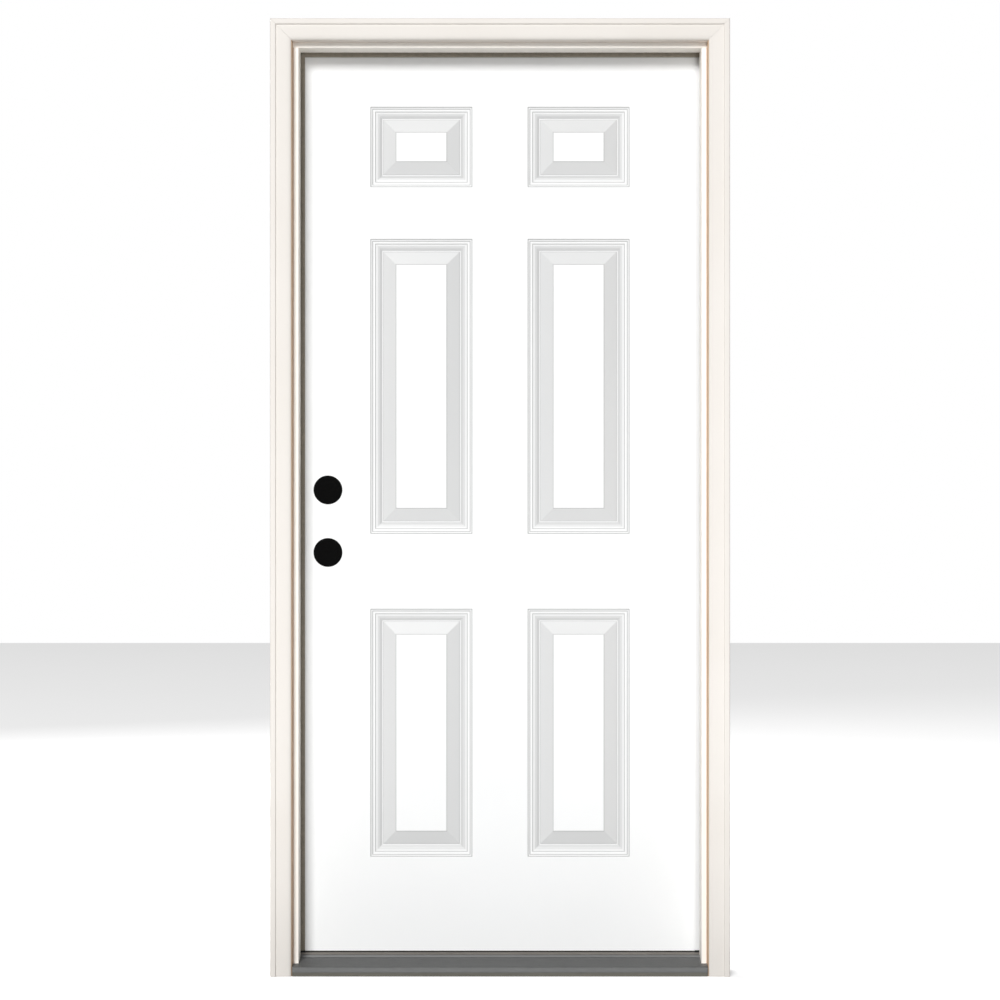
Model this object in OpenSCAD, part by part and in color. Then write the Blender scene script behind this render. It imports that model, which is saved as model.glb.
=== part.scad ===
// Prehung six-panel steel entry door: wood frame, brickmould, sill, weatherstrips, butt hinges and slab.
// Millimetres. +Z is up, -Y is outdoors and +Y is indoors. From outdoors the hinges are on the right (+X).
// The origin is on the sill's underside, mid-opening, in the plane of the wall's outer face.

/* [Slab] */
// Width of the slab
slab_w = 908; // [760:1:1200]
// Height of the slab
slab_h = 2013; // [1680:1:2440]
// Thickness of the slab
slab_t = 44.45; // [40:0.05:60]
// Height of the slab's lower edge above the floor
slab_lift = 41; // [41:0.5:60]
// Gap between the slab and the jamb at the sides and the top
slab_gap = 3.2; // [2.5:0.1:5]
// Thickness of the steel skins
skin_t = 0.6; // [0.5:0.05:1.2]
// Depth of the skins' folded returns over the slab's long edges
return_d = 6; // [4:0.5:6]
// Width of the wood stiles and height of the wood rails inside the slab
stick_w = 38; // [30:0.5:45]
// Width of the wood block behind the lock bores
lock_block_w = 88; // [75:1:110]
// Height of the wood block behind the lock bores
lock_block_h = 380; // [320:1:460]

/* [Embossed panels] */
// Flat face between the slab's long edge and the panels
stile_face_w = 165; // [120:1:200]
// Flat face between the two columns of panels
mullion_w = 124; // [80:1:160]
// Flat face below the lowest panels
bottom_rail_h = 210; // [120:1:300]
// Height of the lowest panels
low_panel_h = 553; // [300:1:650]
// Flat face between the lowest and the middle panels
lock_rail_h = 168; // [100:1:220]
// Flat face between the middle and the top panels
upper_rail_h = 116; // [80:1:160]
// Height of the top panels
top_panel_h = 179; // [140:1:260]
// Flat face above the top panels
top_rail_h = 129; // [80:1:180]
// Depth of the groove round each panel
emboss_d = 8; // [5:0.1:9]
// Width of the stepped moulding round each panel
moulding_w = 26; // [20:0.5:32]
// Width of the bevel that rises to each panel's field
bevel_w = 30; // [20:0.5:32]

/* [Lock bores] */
// Distance from the slab's edge to the centre of the lock bores
backset = 69.85; // [60:0.05:75]
// Diameter of the bores through the slab's faces
cross_bore = 53.975; // [50:0.005:56]
// Diameter of the latch bores in the slab's edge
edge_bore = 25.4; // [20:0.1:26]
// Diameter of the bolt holes in the strike jamb
jamb_bore = 22.2; // [18:0.1:26]
// Height of the lower bore above the slab's lower edge
lock_h = 889; // [800:0.5:1000]
// Distance between the two bores
bore_spacing = 139.7; // [100:0.1:160]
// Height of the recess for the latch's face plate
face_plate_h = 57.15; // [50:0.05:65]
// Depth of the recess for the latch's face plate
face_plate_d = 4; // [2:0.1:5]

/* [Jambs] */
// Depth of the jambs, from the wall's outer face to its inner face
jamb_d = 116; // [112:0.5:170]
// Thickness of the jambs behind the slab's edge
jamb_t = 19; // [16:0.5:30]
// Height of the stop above the rabbet
stop_h = 12.7; // [11:0.1:16]
// Clear space between the stop and the closed slab's outer face
seal_gap = 10.5; // [9:0.1:14]
// Chamfer on the jambs' showing edges
ease = 1; // [0.4:0.1:2]
// How far the head jamb's ends are let into the side jambs
dado_d = 9.5; // [5:0.5:12]
// Width of the kerf that holds the weatherstrip
kerf_w = 3; // [2:0.1:4]
// Depth of the kerf
kerf_d = 10; // [8:0.5:12]
// Distance from the rabbet to the kerf
kerf_in = 3; // [2:0.1:4]

/* [Brickmould] */
// Width of the brickmould
brick_w = 48; // [40:0.5:90]
// Thickness of the brickmould
brick_t = 31.75; // [28:0.25:40]
// Jamb edge that shows beside the brickmould
reveal = 12.5; // [6:0.5:16]

/* [Weatherstrips] */
// How far the magnetic strips reach past the stop
strip_reach = 9.3; // [5:0.1:14]
// Thickness of the strips' legs and flanges
strip_t = 1.2; // [0.8:0.1:1.6]
// Diameter of the hinge side's bulb
bulb_d = 9; // [7:0.1:9]
// Distance that soft seals keep from the slab
seal_clear = 0.3; // [0.2:0.05:0.5]

/* [Sill] */
// How far the sill's nose stands out in front of the jambs
nose_d = 27; // [20:0.5:29]
// Height of the sill's nose
nose_h = 22; // [19:0.5:23]
// Height of the sill base that shows under the deck's lip
base_show = 9; // [4:0.5:12]
// Height of the deck's riser in front of the cap
riser_h = 34; // [33:0.5:35]
// Height of the cap's top
cap_top = 38; // [37:0.5:38]
// Thickness of the aluminium deck
deck_t = 2; // [1.5:0.1:2.5]
// Gap between the sill's nose and the brickmould, and round the cap in its channel
sill_clear = 0.5; // [0.3:0.1:1]
// Thickness of the corner pads under the strips
pad_t = 4; // [3.5:0.1:6]

/* [Hinges] */
// Height of a hinge leaf
leaf_h = 101.6; // [88:0.1:115]
// Thickness of a hinge leaf
leaf_t = 2.4; // [2:0.1:3]
// Distance from the slab's outer face to the leaf
leaf_backset = 6.35; // [6:0.05:10]
// Distance from the slab's inner face to the hinge pin's centre
pin_out = 12.7; // [10:0.1:16]
// Radius of the hinge pin
pin_r = 3.175; // [2.5:0.005:3.5]
// Radial clearance of the pin in its knuckles
pin_clear = 0.05; // [0.02:0.01:0.1]
// Outer radius of the knuckles
knuckle_r = 6.35; // [6:0.05:7]
// Gap between neighbouring knuckles
knuckle_gap = 0.3; // [0.2:0.05:0.5]
// Distance from the slab's top to the top hinge
top_hinge_drop = 178; // [120:1:250]
// Distance from the slab's lower edge to the bottom hinge
low_hinge_lift = 279; // [180:1:350]

/* [Fasteners] */
// Radius of a wood screw's shank
screw_r = 2.1; // [1.5:0.05:2.5]
// Radius of a wood screw's head
screw_head_r = 4.2; // [3.5:0.1:5]
// Length of the screws in the jamb leaves
jamb_screw_l = 17; // [12:0.5:18]
// Length of the screws in the door leaves
door_screw_l = 25; // [12:0.5:28]
// Length of the screws that join the frame's corners
frame_screw_l = 52; // [45:0.5:70]
// Radius of a brickmould nail
nail_r = 1.3; // [1:0.1:1.6]
// Clearance of a fastener in its hole
hole_clear = 0.1; // [0.05:0.05:0.2]

/* [Hidden] */
$fn = 48;

over = 5; // how far a cutting shape reaches past what it cuts
stop_w = jamb_d - slab_t - seal_gap;
face_out = jamb_d - slab_t;
slab_mid_y = jamb_d - slab_t / 2;
slab_top = slab_lift + slab_h;
rabbet_x = slab_w / 2 + slab_gap;
rabbet_z = slab_top + slab_gap;
stop_x = rabbet_x - stop_h;
stop_z = rabbet_z - stop_h;
frame_x = rabbet_x + jamb_t;
frame_z = rabbet_z + jamb_t;
brick_x = stop_x + reveal;
brick_z = stop_z + reveal;
brick_out_x = brick_x + brick_w;
brick_out_z = brick_z + brick_w;

panel_w = (slab_w - 2 * stile_face_w - mullion_w) / 2;
mid_panel_h = slab_h - bottom_rail_h - low_panel_h - lock_rail_h - upper_rail_h - top_panel_h - top_rail_h;
low_panel_z = slab_lift + bottom_rail_h;
mid_panel_z = low_panel_z + low_panel_h + lock_rail_h;
top_panel_z = mid_panel_z + mid_panel_h + upper_rail_h;
panel_rows = [[low_panel_z, low_panel_h], [mid_panel_z, mid_panel_h], [top_panel_z, top_panel_h]];
groove_w = 1.5; // flat bottom of the groove between the moulding and the bevel

lock_x = -slab_w / 2 + backset;
lock_z = [slab_lift + lock_h, slab_lift + lock_h + bore_spacing];
lock_block_z = (lock_z[0] + lock_z[1]) / 2;
stick_y = face_out + skin_t;
stick_d = slab_t - 2 * skin_t;
stick_in = slab_w / 2 - skin_t - stick_w;

hinge_z = [
    slab_top - top_hinge_drop - leaf_h / 2,
    (slab_top - top_hinge_drop + slab_lift + low_hinge_lift) / 2,
    slab_lift + low_hinge_lift + leaf_h / 2
];
pin_x = slab_w / 2 + slab_gap / 2;
pin_y = jamb_d + pin_out;
leaf_y = face_out + leaf_backset;
leaf_corner_r = 8;
knuckle_rows = 5;
leaf_screw_in = 8;
leaf_screw_step = 16;
leaf_screw_z = [[leaf_h * 0.37, 0], [leaf_h * 0.14, 1], [-leaf_h * 0.14, 1], [-leaf_h * 0.37, 0]];

strip_z = cap_top + pad_t;
cap_y = stop_w + 1;
cap_back = jamb_d - 2 * deck_t - sill_clear;
channel_z = 28; // floor of the deck's channel
frame_screw_y = [stop_w / 2, jamb_d - 27];
frame_screw_z = [base_show + 3, rabbet_z + jamb_t / 2];
cap_screw_x = [for (i = [-3, -1, 1, 3]) i * rabbet_x * 0.29];
nail_in = 12; // from the brickmould's inner edge
nail_front = -24;
nail_l = 60;
nail_z = [for (i = [0:5]) 150 + i * (stop_z - 300) / 5];
nail_x = [for (i = [-1:1]) i * stop_x * 0.7];

// ---- outlines ----

// Half of an embossed moulding: [distance from the panel's edge, depth], always deeper inwards
function moulding_steps() = [
    for (p = [[0, 0], [0.05, 0.2], [0.16, 0.22], [0.2, 0.38], [0.4, 0.42], [0.45, 0.55],
              [0.6, 0.6], [0.78, 0.72], [0.92, 0.9], [1, 1]])
        [p[0] * moulding_w, p[1] * emboss_d]
];

// The bevel's line: [distance from the panel's edge, depth], rising to the field at the slab's face
function bevel_steps() = [
    for (p = [[0, 1], [0.05, 0.9], [0.95, 0.12], [1, 0]])
        [moulding_w + groove_w + p[0] * bevel_w, p[1] * emboss_d]
];

// A symmetric outline across a panel of the given size, from its left half
function across(size, half) = concat(
    [for (p = half) [-size / 2 + p[0], p[1]]],
    [for (i = [len(half) - 1:-1:0]) [size / 2 - half[i][0], half[i][1]]]
);

function sunk_half(shift, top) = concat(
    [[0, top]],
    [for (p = moulding_steps()) [p[0], p[1] + shift]]
);

function island_half(shift, top) = concat(
    [[moulding_w + groove_w, emboss_d + shift + over]],
    [for (p = bevel_steps()) [p[0], p[1] + shift]],
    [[moulding_w + groove_w + bevel_w, top - over]]
);

// A jamb's section: [outwards from the rabbet, inwards from the wall's outer face]
function jamb_outline(kerfed) = concat(
    [[-stop_h, ease], [-stop_h + ease, 0], [jamb_t, 0], [jamb_t, jamb_d],
     [ease, jamb_d], [0, jamb_d - ease], [0, stop_w]],
    kerfed ? [[-kerf_in, stop_w], [-kerf_in, stop_w - kerf_d],
              [-kerf_in - kerf_w, stop_w - kerf_d], [-kerf_in - kerf_w, stop_w]] : [],
    [[-stop_h, stop_w]]
);

// The brickmould's section: [outwards from its inner edge, y], with a bead, a quirk and a rounded inner edge
function brick_outline() = concat(
    [[0, 0], [brick_w, 0]],
    [for (a = [0:30:90]) [brick_w - 2 + 2 * cos(a), -brick_t + 2 - 2 * sin(a)]],
    [for (a = [90:30:180]) [brick_w - 10 + 3 * cos(a), -brick_t + 3 - 3 * sin(a)]],
    [[brick_w - 13, -brick_t + 4.5], [brick_w - 15, -brick_t + 3.2], [9, -brick_t + 4.6]],
    [for (a = [90:18:180]) [9 + 9 * cos(a), -brick_t + 13.6 - 9 * sin(a)]]
);

// The magnetic strip's section: [inwards from the rabbet, indoors from the stop's face]
function magnetic_outline() =
    let (tip = stop_h + strip_reach, front = seal_gap - seal_clear, back = front - 5.8, web = stop_h - 0.3,
         leg = kerf_in + 0.2, leg_w = kerf_w - 0.4)
    [[1, 0], [leg, 0], [leg, 1 - kerf_d], [leg + leg_w, 1 - kerf_d], [leg + leg_w, 0],
     [web, 0], [web, back], [tip - 1, back], [tip, back + 1], [tip, front - 1], [tip - 1, front],
     [web - 3, front], [web - 3, back], [web - strip_t, back], [web - strip_t, strip_t], [1, strip_t]];

function deck_top() = [
    [-nose_d, nose_h - deck_t], [-nose_d + deck_t, nose_h],
    [stop_w - 11, riser_h - 4], [stop_w - 9, riser_h], [stop_w, riser_h],
    [stop_w, channel_z], [jamb_d - deck_t, channel_z], [jamb_d - deck_t, riser_h - 1], [jamb_d, riser_h - 1]
];

function deck_underside() = [
    [jamb_d, channel_z - deck_t], [stop_w - deck_t, channel_z - deck_t], [stop_w - deck_t, riser_h - deck_t],
    [stop_w - 7.7, riser_h - deck_t], [stop_w - 9.4, riser_h - 4 - deck_t],
    [-nose_d + deck_t, nose_h - 1.2 * deck_t]
];

// ---- shared shapes ----

// What the emboss removes, centred on a panel, with depth along +Y from the face
module emboss(w, h, shift, top) {
    difference() {
        intersection() {
            linear_extrude(h + 2 * over, center = true) polygon(across(w, sunk_half(shift, top)));
            rotate([0, -90, 0])
                linear_extrude(w + 2 * over, center = true) polygon(across(h, sunk_half(shift, top)));
        }
        intersection() {
            linear_extrude(h, center = true) polygon(across(w, island_half(shift, top)));
            rotate([0, -90, 0])
                linear_extrude(w, center = true) polygon(across(h, island_half(shift, top)));
        }
    }
}

module all_embosses(shift, top) {
    for (row = panel_rows, side = [-1, 1])
        translate([side * (mullion_w + panel_w) / 2, face_out, row[0] + row[1] / 2])
            emboss(panel_w, row[1], shift, top);
}

// Turns what is drawn for the outdoor face of the slab into its indoor face
module indoor_face() {
    translate([0, 2 * slab_mid_y, 0]) mirror([0, 1, 0]) children();
}

module along_y(y, length, radius) {
    translate([0, y, 0]) rotate([-90, 0, 0]) cylinder(h = length, r = radius);
}

module lock_cross_bores() {
    for (z = lock_z)
        translate([lock_x, 0, z]) along_y(face_out - over, slab_t + 2 * over, cross_bore / 2);
}

module latch_bores() {
    for (z = lock_z)
        translate([-slab_w / 2 - over, slab_mid_y, z])
            rotate([0, 90, 0]) cylinder(h = backset + over, d = edge_bore);
}

module face_plate_recesses() {
    corner = 6;
    for (z = lock_z)
        translate([-slab_w / 2 - over, slab_mid_y, z]) rotate([0, 90, 0]) {
            for (sx = [-1, 1], sy = [-1, 1])
                translate([sx * (face_plate_h / 2 - corner), sy * (edge_bore / 2 - corner), 0])
                    cylinder(h = over + skin_t + face_plate_d, r = corner);
            translate([-face_plate_h / 2 + corner, -edge_bore / 2, 0])
                cube([face_plate_h - 2 * corner, edge_bore, over + skin_t + face_plate_d]);
            translate([-face_plate_h / 2, -edge_bore / 2 + corner, 0])
                cube([face_plate_h, edge_bore - 2 * corner, over + skin_t + face_plate_d]);
        }
}

// A countersunk wood screw with its head's face at z = 0, driven down -Z; extra grows it into its own hole
module wood_screw(length, extra) {
    head_h = screw_head_r - screw_r;
    translate([0, 0, -head_h]) cylinder(h = head_h, r1 = screw_r + extra, r2 = screw_head_r + extra);
    translate([0, 0, -length + 4]) cylinder(h = length - 4 - head_h, r = screw_r + extra);
    translate([0, 0, -length]) cylinder(h = 4, r1 = 0.4 + extra, r2 = screw_r + extra);
}

module hex_head_screw(length, extra) {
    head_h = 2.4;
    translate([0, 0, -head_h]) cylinder(h = head_h, r = screw_head_r + extra);
    translate([0, 0, -length + 4]) cylinder(h = length - 4 - head_h, r = screw_r + extra);
    translate([0, 0, -length]) cylinder(h = 4, r1 = 0.4 + extra, r2 = screw_r + extra);
}

// ---- frame ----

module side_jamb() {
    difference() {
        translate([rabbet_x, 0, 0]) linear_extrude(frame_z) polygon(jamb_outline(true));
        head_bar(false);
        frame_screw_set(hole_clear);
        nail_set(hole_clear);
    }
}

// The head jamb as one bar, let into both side jambs
module head_bar(kerfed) {
    translate([0, 0, rabbet_z]) rotate([0, -90, 0])
        linear_extrude(2 * (rabbet_x + dado_d), center = true) polygon(jamb_outline(kerfed));
}

module hinge_jamb() {
    color("ivory") difference() {
        side_jamb();
        for (z = hinge_z) translate([0, 0, z]) jamb_leaf_plate(over);
        jamb_screw_set(hole_clear);
    }
}

module strike_jamb() {
    color("ivory") difference() {
        mirror([1, 0, 0]) side_jamb();
        for (z = lock_z)
            translate([-frame_x - over, slab_mid_y, z])
                rotate([0, 90, 0]) cylinder(h = jamb_t + 2 * over, d = jamb_bore);
    }
}

module head_jamb() {
    color("ivory") difference() {
        head_bar(true);
        for (side = [0, 1]) mirror([side, 0, 0]) frame_screw_set(hole_clear);
        nail_set(hole_clear);
    }
}

module side_brickmould() {
    difference() {
        intersection() {
            translate([brick_x, 0, 0]) linear_extrude(brick_out_z) polygon(brick_outline());
            translate([0, over, 0]) rotate([90, 0, 0]) linear_extrude(brick_t + 2 * over)
                polygon([[brick_x, 0], [brick_out_x, 0], [brick_out_x, brick_out_z], [brick_x, brick_z]]);
        }
        nail_set(hole_clear);
    }
}

module hinge_brickmould() {
    color("linen") side_brickmould();
}

module strike_brickmould() {
    color("linen") mirror([1, 0, 0]) side_brickmould();
}

module head_brickmould() {
    color("linen") difference() {
        intersection() {
            translate([0, 0, brick_z]) rotate([0, -90, 0])
                linear_extrude(2 * brick_out_x, center = true) polygon(brick_outline());
            translate([0, over, 0]) rotate([90, 0, 0]) linear_extrude(brick_t + 2 * over)
                polygon([[-brick_x, brick_z], [brick_x, brick_z],
                         [brick_out_x, brick_out_z], [-brick_out_x, brick_out_z]]);
        }
        nail_set(hole_clear);
    }
}

// The nails of one side and of the head, growing into their own holes by extra
module nail_set(extra) {
    for (z = nail_z) translate([brick_x + nail_in, 0, z]) along_y(nail_front, nail_l, nail_r + extra);
    for (x = nail_x) translate([x, 0, brick_z + nail_in]) along_y(nail_front, nail_l, nail_r + extra);
}

module brickmould_nails() {
    color("dimgray") {
        nail_set(0);
        for (z = nail_z) translate([-brick_x - nail_in, 0, z]) along_y(nail_front, nail_l, nail_r);
    }
}

module frame_screw_set(extra) {
    for (y = frame_screw_y, z = frame_screw_z)
        translate([frame_x, y, z]) rotate([0, 90, 0]) hex_head_screw(frame_screw_l, extra);
}

module frame_screws() {
    color("goldenrod") for (side = [0, 1]) mirror([side, 0, 0]) frame_screw_set(0);
}

// ---- weatherstrips ----

// Sweeps a strip's section up the hinge side, trimmed where it meets the head jamb's stop
module side_strip() {
    difference() {
        translate([rabbet_x, stop_w, strip_z])
            mirror([1, 0, 0]) linear_extrude(rabbet_z - ease - strip_z) children();
        head_bar(false);
    }
}

module strike_weatherstrip() {
    color("#4d463b") mirror([1, 0, 0]) side_strip() polygon(magnetic_outline());
}

// Runs from the strike side's strip to the hinge side's
module head_weatherstrip() {
    left = -rabbet_x + stop_h + strip_reach + seal_clear;
    color("#4d463b") translate([left, stop_w, rabbet_z])
        rotate([0, 90, 0]) linear_extrude(stop_x - left) polygon(magnetic_outline());
}

module hinge_weatherstrip() {
    leg = kerf_in + 0.2;
    leg_w = kerf_w - 0.4;
    front = seal_gap - seal_clear;
    bulb_x = bulb_d / 2 + 1.4;
    color("#4d463b") side_strip() {
        translate([bulb_x, front - bulb_d / 2]) difference() {
            circle(d = bulb_d);
            circle(d = bulb_d - 2 * strip_t);
        }
        translate([bulb_x - 1.5, strip_t / 2]) square([3, front - bulb_d]);
        translate([leg, 1 - kerf_d]) square([leg_w, kerf_d - 1 + strip_t / 2]);
        translate([1, 0]) square([stop_h - 1.3, strip_t]);
    }
}

module corner_pad() {
    reach = stop_h + strip_reach;
    translate([rabbet_x - reach, cap_y + 3, cap_top])
        cube([reach - sill_clear, face_out - seal_clear - cap_y - 3, pad_t]);
    translate([rabbet_x - reach, cap_y + 3, cap_top])
        cube([reach - sill_clear, 28, slab_lift - cap_top - seal_clear]);
}

module hinge_corner_pad() {
    color("black") corner_pad();
}

module strike_corner_pad() {
    color("black") mirror([1, 0, 0]) corner_pad();
}

// ---- sill ----

// The sill's shape from above, kept between the brickmoulds, the stops and the rabbets
module sill_plan(height) {
    nose_x = brick_x - sill_clear;
    linear_extrude(height) polygon([
        [-nose_x, -nose_d - over], [nose_x, -nose_d - over], [nose_x, 0],
        [stop_x, 0], [stop_x, stop_w], [rabbet_x, stop_w], [rabbet_x, jamb_d],
        [-rabbet_x, jamb_d], [-rabbet_x, stop_w], [-stop_x, stop_w], [-stop_x, 0], [-nose_x, 0]
    ]);
}

// Sweeps an outline given as [y, z] along the sill and trims it to the sill's plan
module sill_section(outline) {
    intersection() {
        rotate([90, 0, 90]) linear_extrude(2 * frame_x, center = true) polygon(outline);
        translate([0, 0, -over]) sill_plan(cap_top + 2 * over);
    }
}

module sill_base() {
    color("#8f7f74") difference() {
        sill_section(concat([[-nose_d + deck_t, 0], [jamb_d, 0]], deck_underside()));
        for (side = [0, 1]) mirror([side, 0, 0]) frame_screw_set(hole_clear);
        cap_screw_set(hole_clear);
    }
}

module sill_deck() {
    lip = [[-nose_d, base_show], [-nose_d + deck_t, base_show]];
    under = deck_underside();
    color("#686868") difference() {
        sill_section(concat([lip[0]], deck_top(), under, [lip[1]]));
        cap_screw_set(hole_clear);
    }
}

module sill_cap() {
    half = rabbet_x - sill_clear;
    color("#6f6a66") difference() {
        rotate([90, 0, 90]) linear_extrude(2 * half, center = true) polygon([
            [cap_y, channel_z], [cap_y, cap_top - 2], [cap_y + 2, cap_top],
            [cap_back - 5, cap_top], [cap_back, cap_top - 4], [cap_back, channel_z]
        ]);
        cap_screw_set(hole_clear);
    }
}

module cap_screw_set(extra) {
    for (x = cap_screw_x)
        translate([x, (cap_y + cap_back) / 2, cap_top]) wood_screw(cap_top - 8, extra);
}

module sill_cap_screws() {
    color("silver") cap_screw_set(0);
}

// ---- hinges ----

// A leaf's flat, drawn as [y from the pin, z], with two rounded corners away from the pin
module leaf_flat(reach) {
    inner = leaf_y - pin_y;
    for (s = [-1, 1])
        translate([inner + leaf_corner_r, s * (leaf_h / 2 - leaf_corner_r)]) circle(r = leaf_corner_r);
    translate([inner, -leaf_h / 2 + leaf_corner_r]) square([reach - inner, leaf_h - 2 * leaf_corner_r]);
    translate([inner + leaf_corner_r, -leaf_h / 2]) square([reach - inner - leaf_corner_r, leaf_h]);
}

// The flat as a plate in the jamb's rabbet; depth makes it thicker towards the gap, to cut its own seat
module jamb_leaf_plate(depth) {
    translate([rabbet_x - depth, pin_y, 0]) rotate([90, 0, 90])
        linear_extrude(leaf_t + depth) leaf_flat(-knuckle_r * 0.7);
}

module door_leaf_plate(depth) {
    translate([slab_w / 2 - leaf_t, pin_y, 0]) rotate([90, 0, 90])
        linear_extrude(leaf_t + depth) leaf_flat(-knuckle_r * 0.7);
}

function row_z(row) = -leaf_h / 2 + row * leaf_h / knuckle_rows;

// The knuckles of the rows that belong to one leaf
module knuckles(first) {
    for (row = [first:2:knuckle_rows - 1])
        translate([pin_x, pin_y, row_z(row) + knuckle_gap / 2])
            cylinder(h = leaf_h / knuckle_rows - knuckle_gap, r = knuckle_r);
}

// Room for the other leaf's knuckles
module knuckle_room(first) {
    for (row = [first:2:knuckle_rows - 1])
        translate([pin_x, pin_y, row_z(row) - knuckle_gap / 2])
            cylinder(h = leaf_h / knuckle_rows + knuckle_gap, r = knuckle_r + 2 * knuckle_gap);
}

module pin_bore() {
    translate([pin_x, pin_y, -leaf_h / 2 - over]) cylinder(h = leaf_h + 2 * over, r = pin_r + pin_clear);
}

// Places a screw on a leaf for each of its holes
module at_leaf_screws() {
    for (p = leaf_screw_z) translate([0, leaf_y + leaf_screw_in + p[1] * leaf_screw_step, p[0]]) children();
}

module jamb_screw_set(extra) {
    for (z = hinge_z) translate([rabbet_x, 0, z])
        at_leaf_screws() rotate([0, -90, 0]) wood_screw(jamb_screw_l, extra);
}

module door_screw_set(extra) {
    for (z = hinge_z) translate([slab_w / 2, 0, z])
        at_leaf_screws() rotate([0, 90, 0]) wood_screw(door_screw_l, extra);
}

module jamb_leaf(index) {
    color("silver") difference() {
        translate([0, 0, hinge_z[index]]) difference() {
            union() {
                jamb_leaf_plate(0);
                knuckles(0);
            }
            knuckle_room(1);
            pin_bore();
        }
        jamb_screw_set(hole_clear);
    }
}

module door_leaf(index) {
    color("silver") difference() {
        translate([0, 0, hinge_z[index]]) difference() {
            union() {
                door_leaf_plate(0);
                knuckles(1);
            }
            knuckle_room(0);
            pin_bore();
        }
        door_screw_set(hole_clear);
    }
}

module hinge_pin(index) {
    head_h = 2.6;
    tip_h = 3;
    color("silver") translate([pin_x, pin_y, hinge_z[index]]) {
        translate([0, 0, -leaf_h / 2 - tip_h]) cylinder(h = leaf_h + tip_h + 1, r = pin_r);
        translate([0, 0, leaf_h / 2]) cylinder(h = head_h, r = knuckle_r - 0.6);
        translate([0, 0, leaf_h / 2 + head_h]) cylinder(h = 1.2, r1 = knuckle_r - 0.6, r2 = knuckle_r - 2.4);
        translate([0, 0, -leaf_h / 2 - tip_h - 1.5]) cylinder(h = 1.5, r1 = pin_r - 1.4, r2 = pin_r);
    }
}

module top_jamb_leaf() {
    jamb_leaf(0);
}

module middle_jamb_leaf() {
    jamb_leaf(1);
}

module bottom_jamb_leaf() {
    jamb_leaf(2);
}

module top_door_leaf() {
    door_leaf(0);
}

module middle_door_leaf() {
    door_leaf(1);
}

module bottom_door_leaf() {
    door_leaf(2);
}

module top_hinge_pin() {
    hinge_pin(0);
}

module middle_hinge_pin() {
    hinge_pin(1);
}

module bottom_hinge_pin() {
    hinge_pin(2);
}

module jamb_leaf_screws() {
    color("silver") jamb_screw_set(0);
}

module door_leaf_screws() {
    color("silver") door_screw_set(0);
}

// ---- slab ----

// One pressed sheet for the outdoor face: a flat with folded returns, embossed in one thickness
module pressed_skin() {
    difference() {
        union() {
            translate([-slab_w / 2, face_out, slab_lift]) cube([slab_w, skin_t, slab_h]);
            for (x = [-slab_w / 2, slab_w / 2 - skin_t])
                translate([x, face_out, slab_lift]) cube([skin_t, return_d, slab_h]);
            all_embosses(skin_t, skin_t / 2);
        }
        all_embosses(0, -1);
        lock_cross_bores();
    }
}

module exterior_skin() {
    color("white") pressed_skin();
}

module interior_skin() {
    color("white") difference() {
        indoor_face() pressed_skin();
        for (z = hinge_z) translate([0, 0, z]) door_leaf_plate(over);
    }
}

module foam_core() {
    color("khaki") difference() {
        translate([-stick_in, stick_y, slab_lift + stick_w])
            cube([2 * stick_in, stick_d, slab_h - 2 * stick_w]);
        all_embosses(skin_t, -1);
        indoor_face() all_embosses(skin_t, -1);
        translate([-stick_in - over, stick_y - over, lock_block_z - lock_block_h / 2])
            cube([lock_block_w + over, stick_d + 2 * over, lock_block_h]);
    }
}

module stile_bar() {
    translate([stick_in, stick_y, slab_lift]) cube([stick_w, stick_d, slab_h]);
}

module hinge_stile() {
    color("burlywood") difference() {
        stile_bar();
        for (z = hinge_z) translate([0, 0, z]) door_leaf_plate(over);
        door_screw_set(hole_clear);
    }
}

module lock_stile() {
    color("burlywood") difference() {
        mirror([1, 0, 0]) stile_bar();
        face_plate_recesses();
        latch_bores();
    }
}

module rail_bar(z) {
    translate([-stick_in, stick_y, z]) cube([2 * stick_in, stick_d, stick_w]);
}

module top_rail() {
    color("burlywood") rail_bar(slab_top - stick_w);
}

module bottom_rail() {
    color("burlywood") rail_bar(slab_lift);
}

module lock_block() {
    color("burlywood") difference() {
        translate([-stick_in, stick_y, lock_block_z - lock_block_h / 2])
            cube([lock_block_w, stick_d, lock_block_h]);
        lock_cross_bores();
        latch_bores();
    }
}

// A thin carrier under the slab with three fins that wipe the cap
module bottom_sweep() {
    half = stop_x - strip_reach - 6;
    carrier_t = 1.1;
    fin_t = 0.9;
    color("dimgray") {
        translate([-half, face_out + 4, slab_lift - carrier_t]) cube([2 * half, slab_t - 8, carrier_t]);
        for (i = [0:2])
            translate([-half, face_out + 7 + i * 9, cap_top + seal_clear])
                cube([2 * half, fin_t, slab_lift - carrier_t / 2 - cap_top - seal_clear]);
    }
}

hinge_jamb();
strike_jamb();
head_jamb();
hinge_brickmould();
strike_brickmould();
head_brickmould();
brickmould_nails();
hinge_weatherstrip();
strike_weatherstrip();
head_weatherstrip();
sill_base();
sill_deck();
sill_cap();
sill_cap_screws();
hinge_corner_pad();
strike_corner_pad();
frame_screws();
top_jamb_leaf();
middle_jamb_leaf();
bottom_jamb_leaf();
jamb_leaf_screws();
top_hinge_pin();
middle_hinge_pin();
bottom_hinge_pin();
exterior_skin();
interior_skin();
foam_core();
hinge_stile();
lock_stile();
top_rail();
bottom_rail();
lock_block();
bottom_sweep();
top_door_leaf();
middle_door_leaf();
bottom_door_leaf();
door_leaf_screws();
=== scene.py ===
import math

import bmesh
import bpy
from mathutils import Matrix, Vector
from mathutils.geometry import delaunay_2d_cdt


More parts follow.
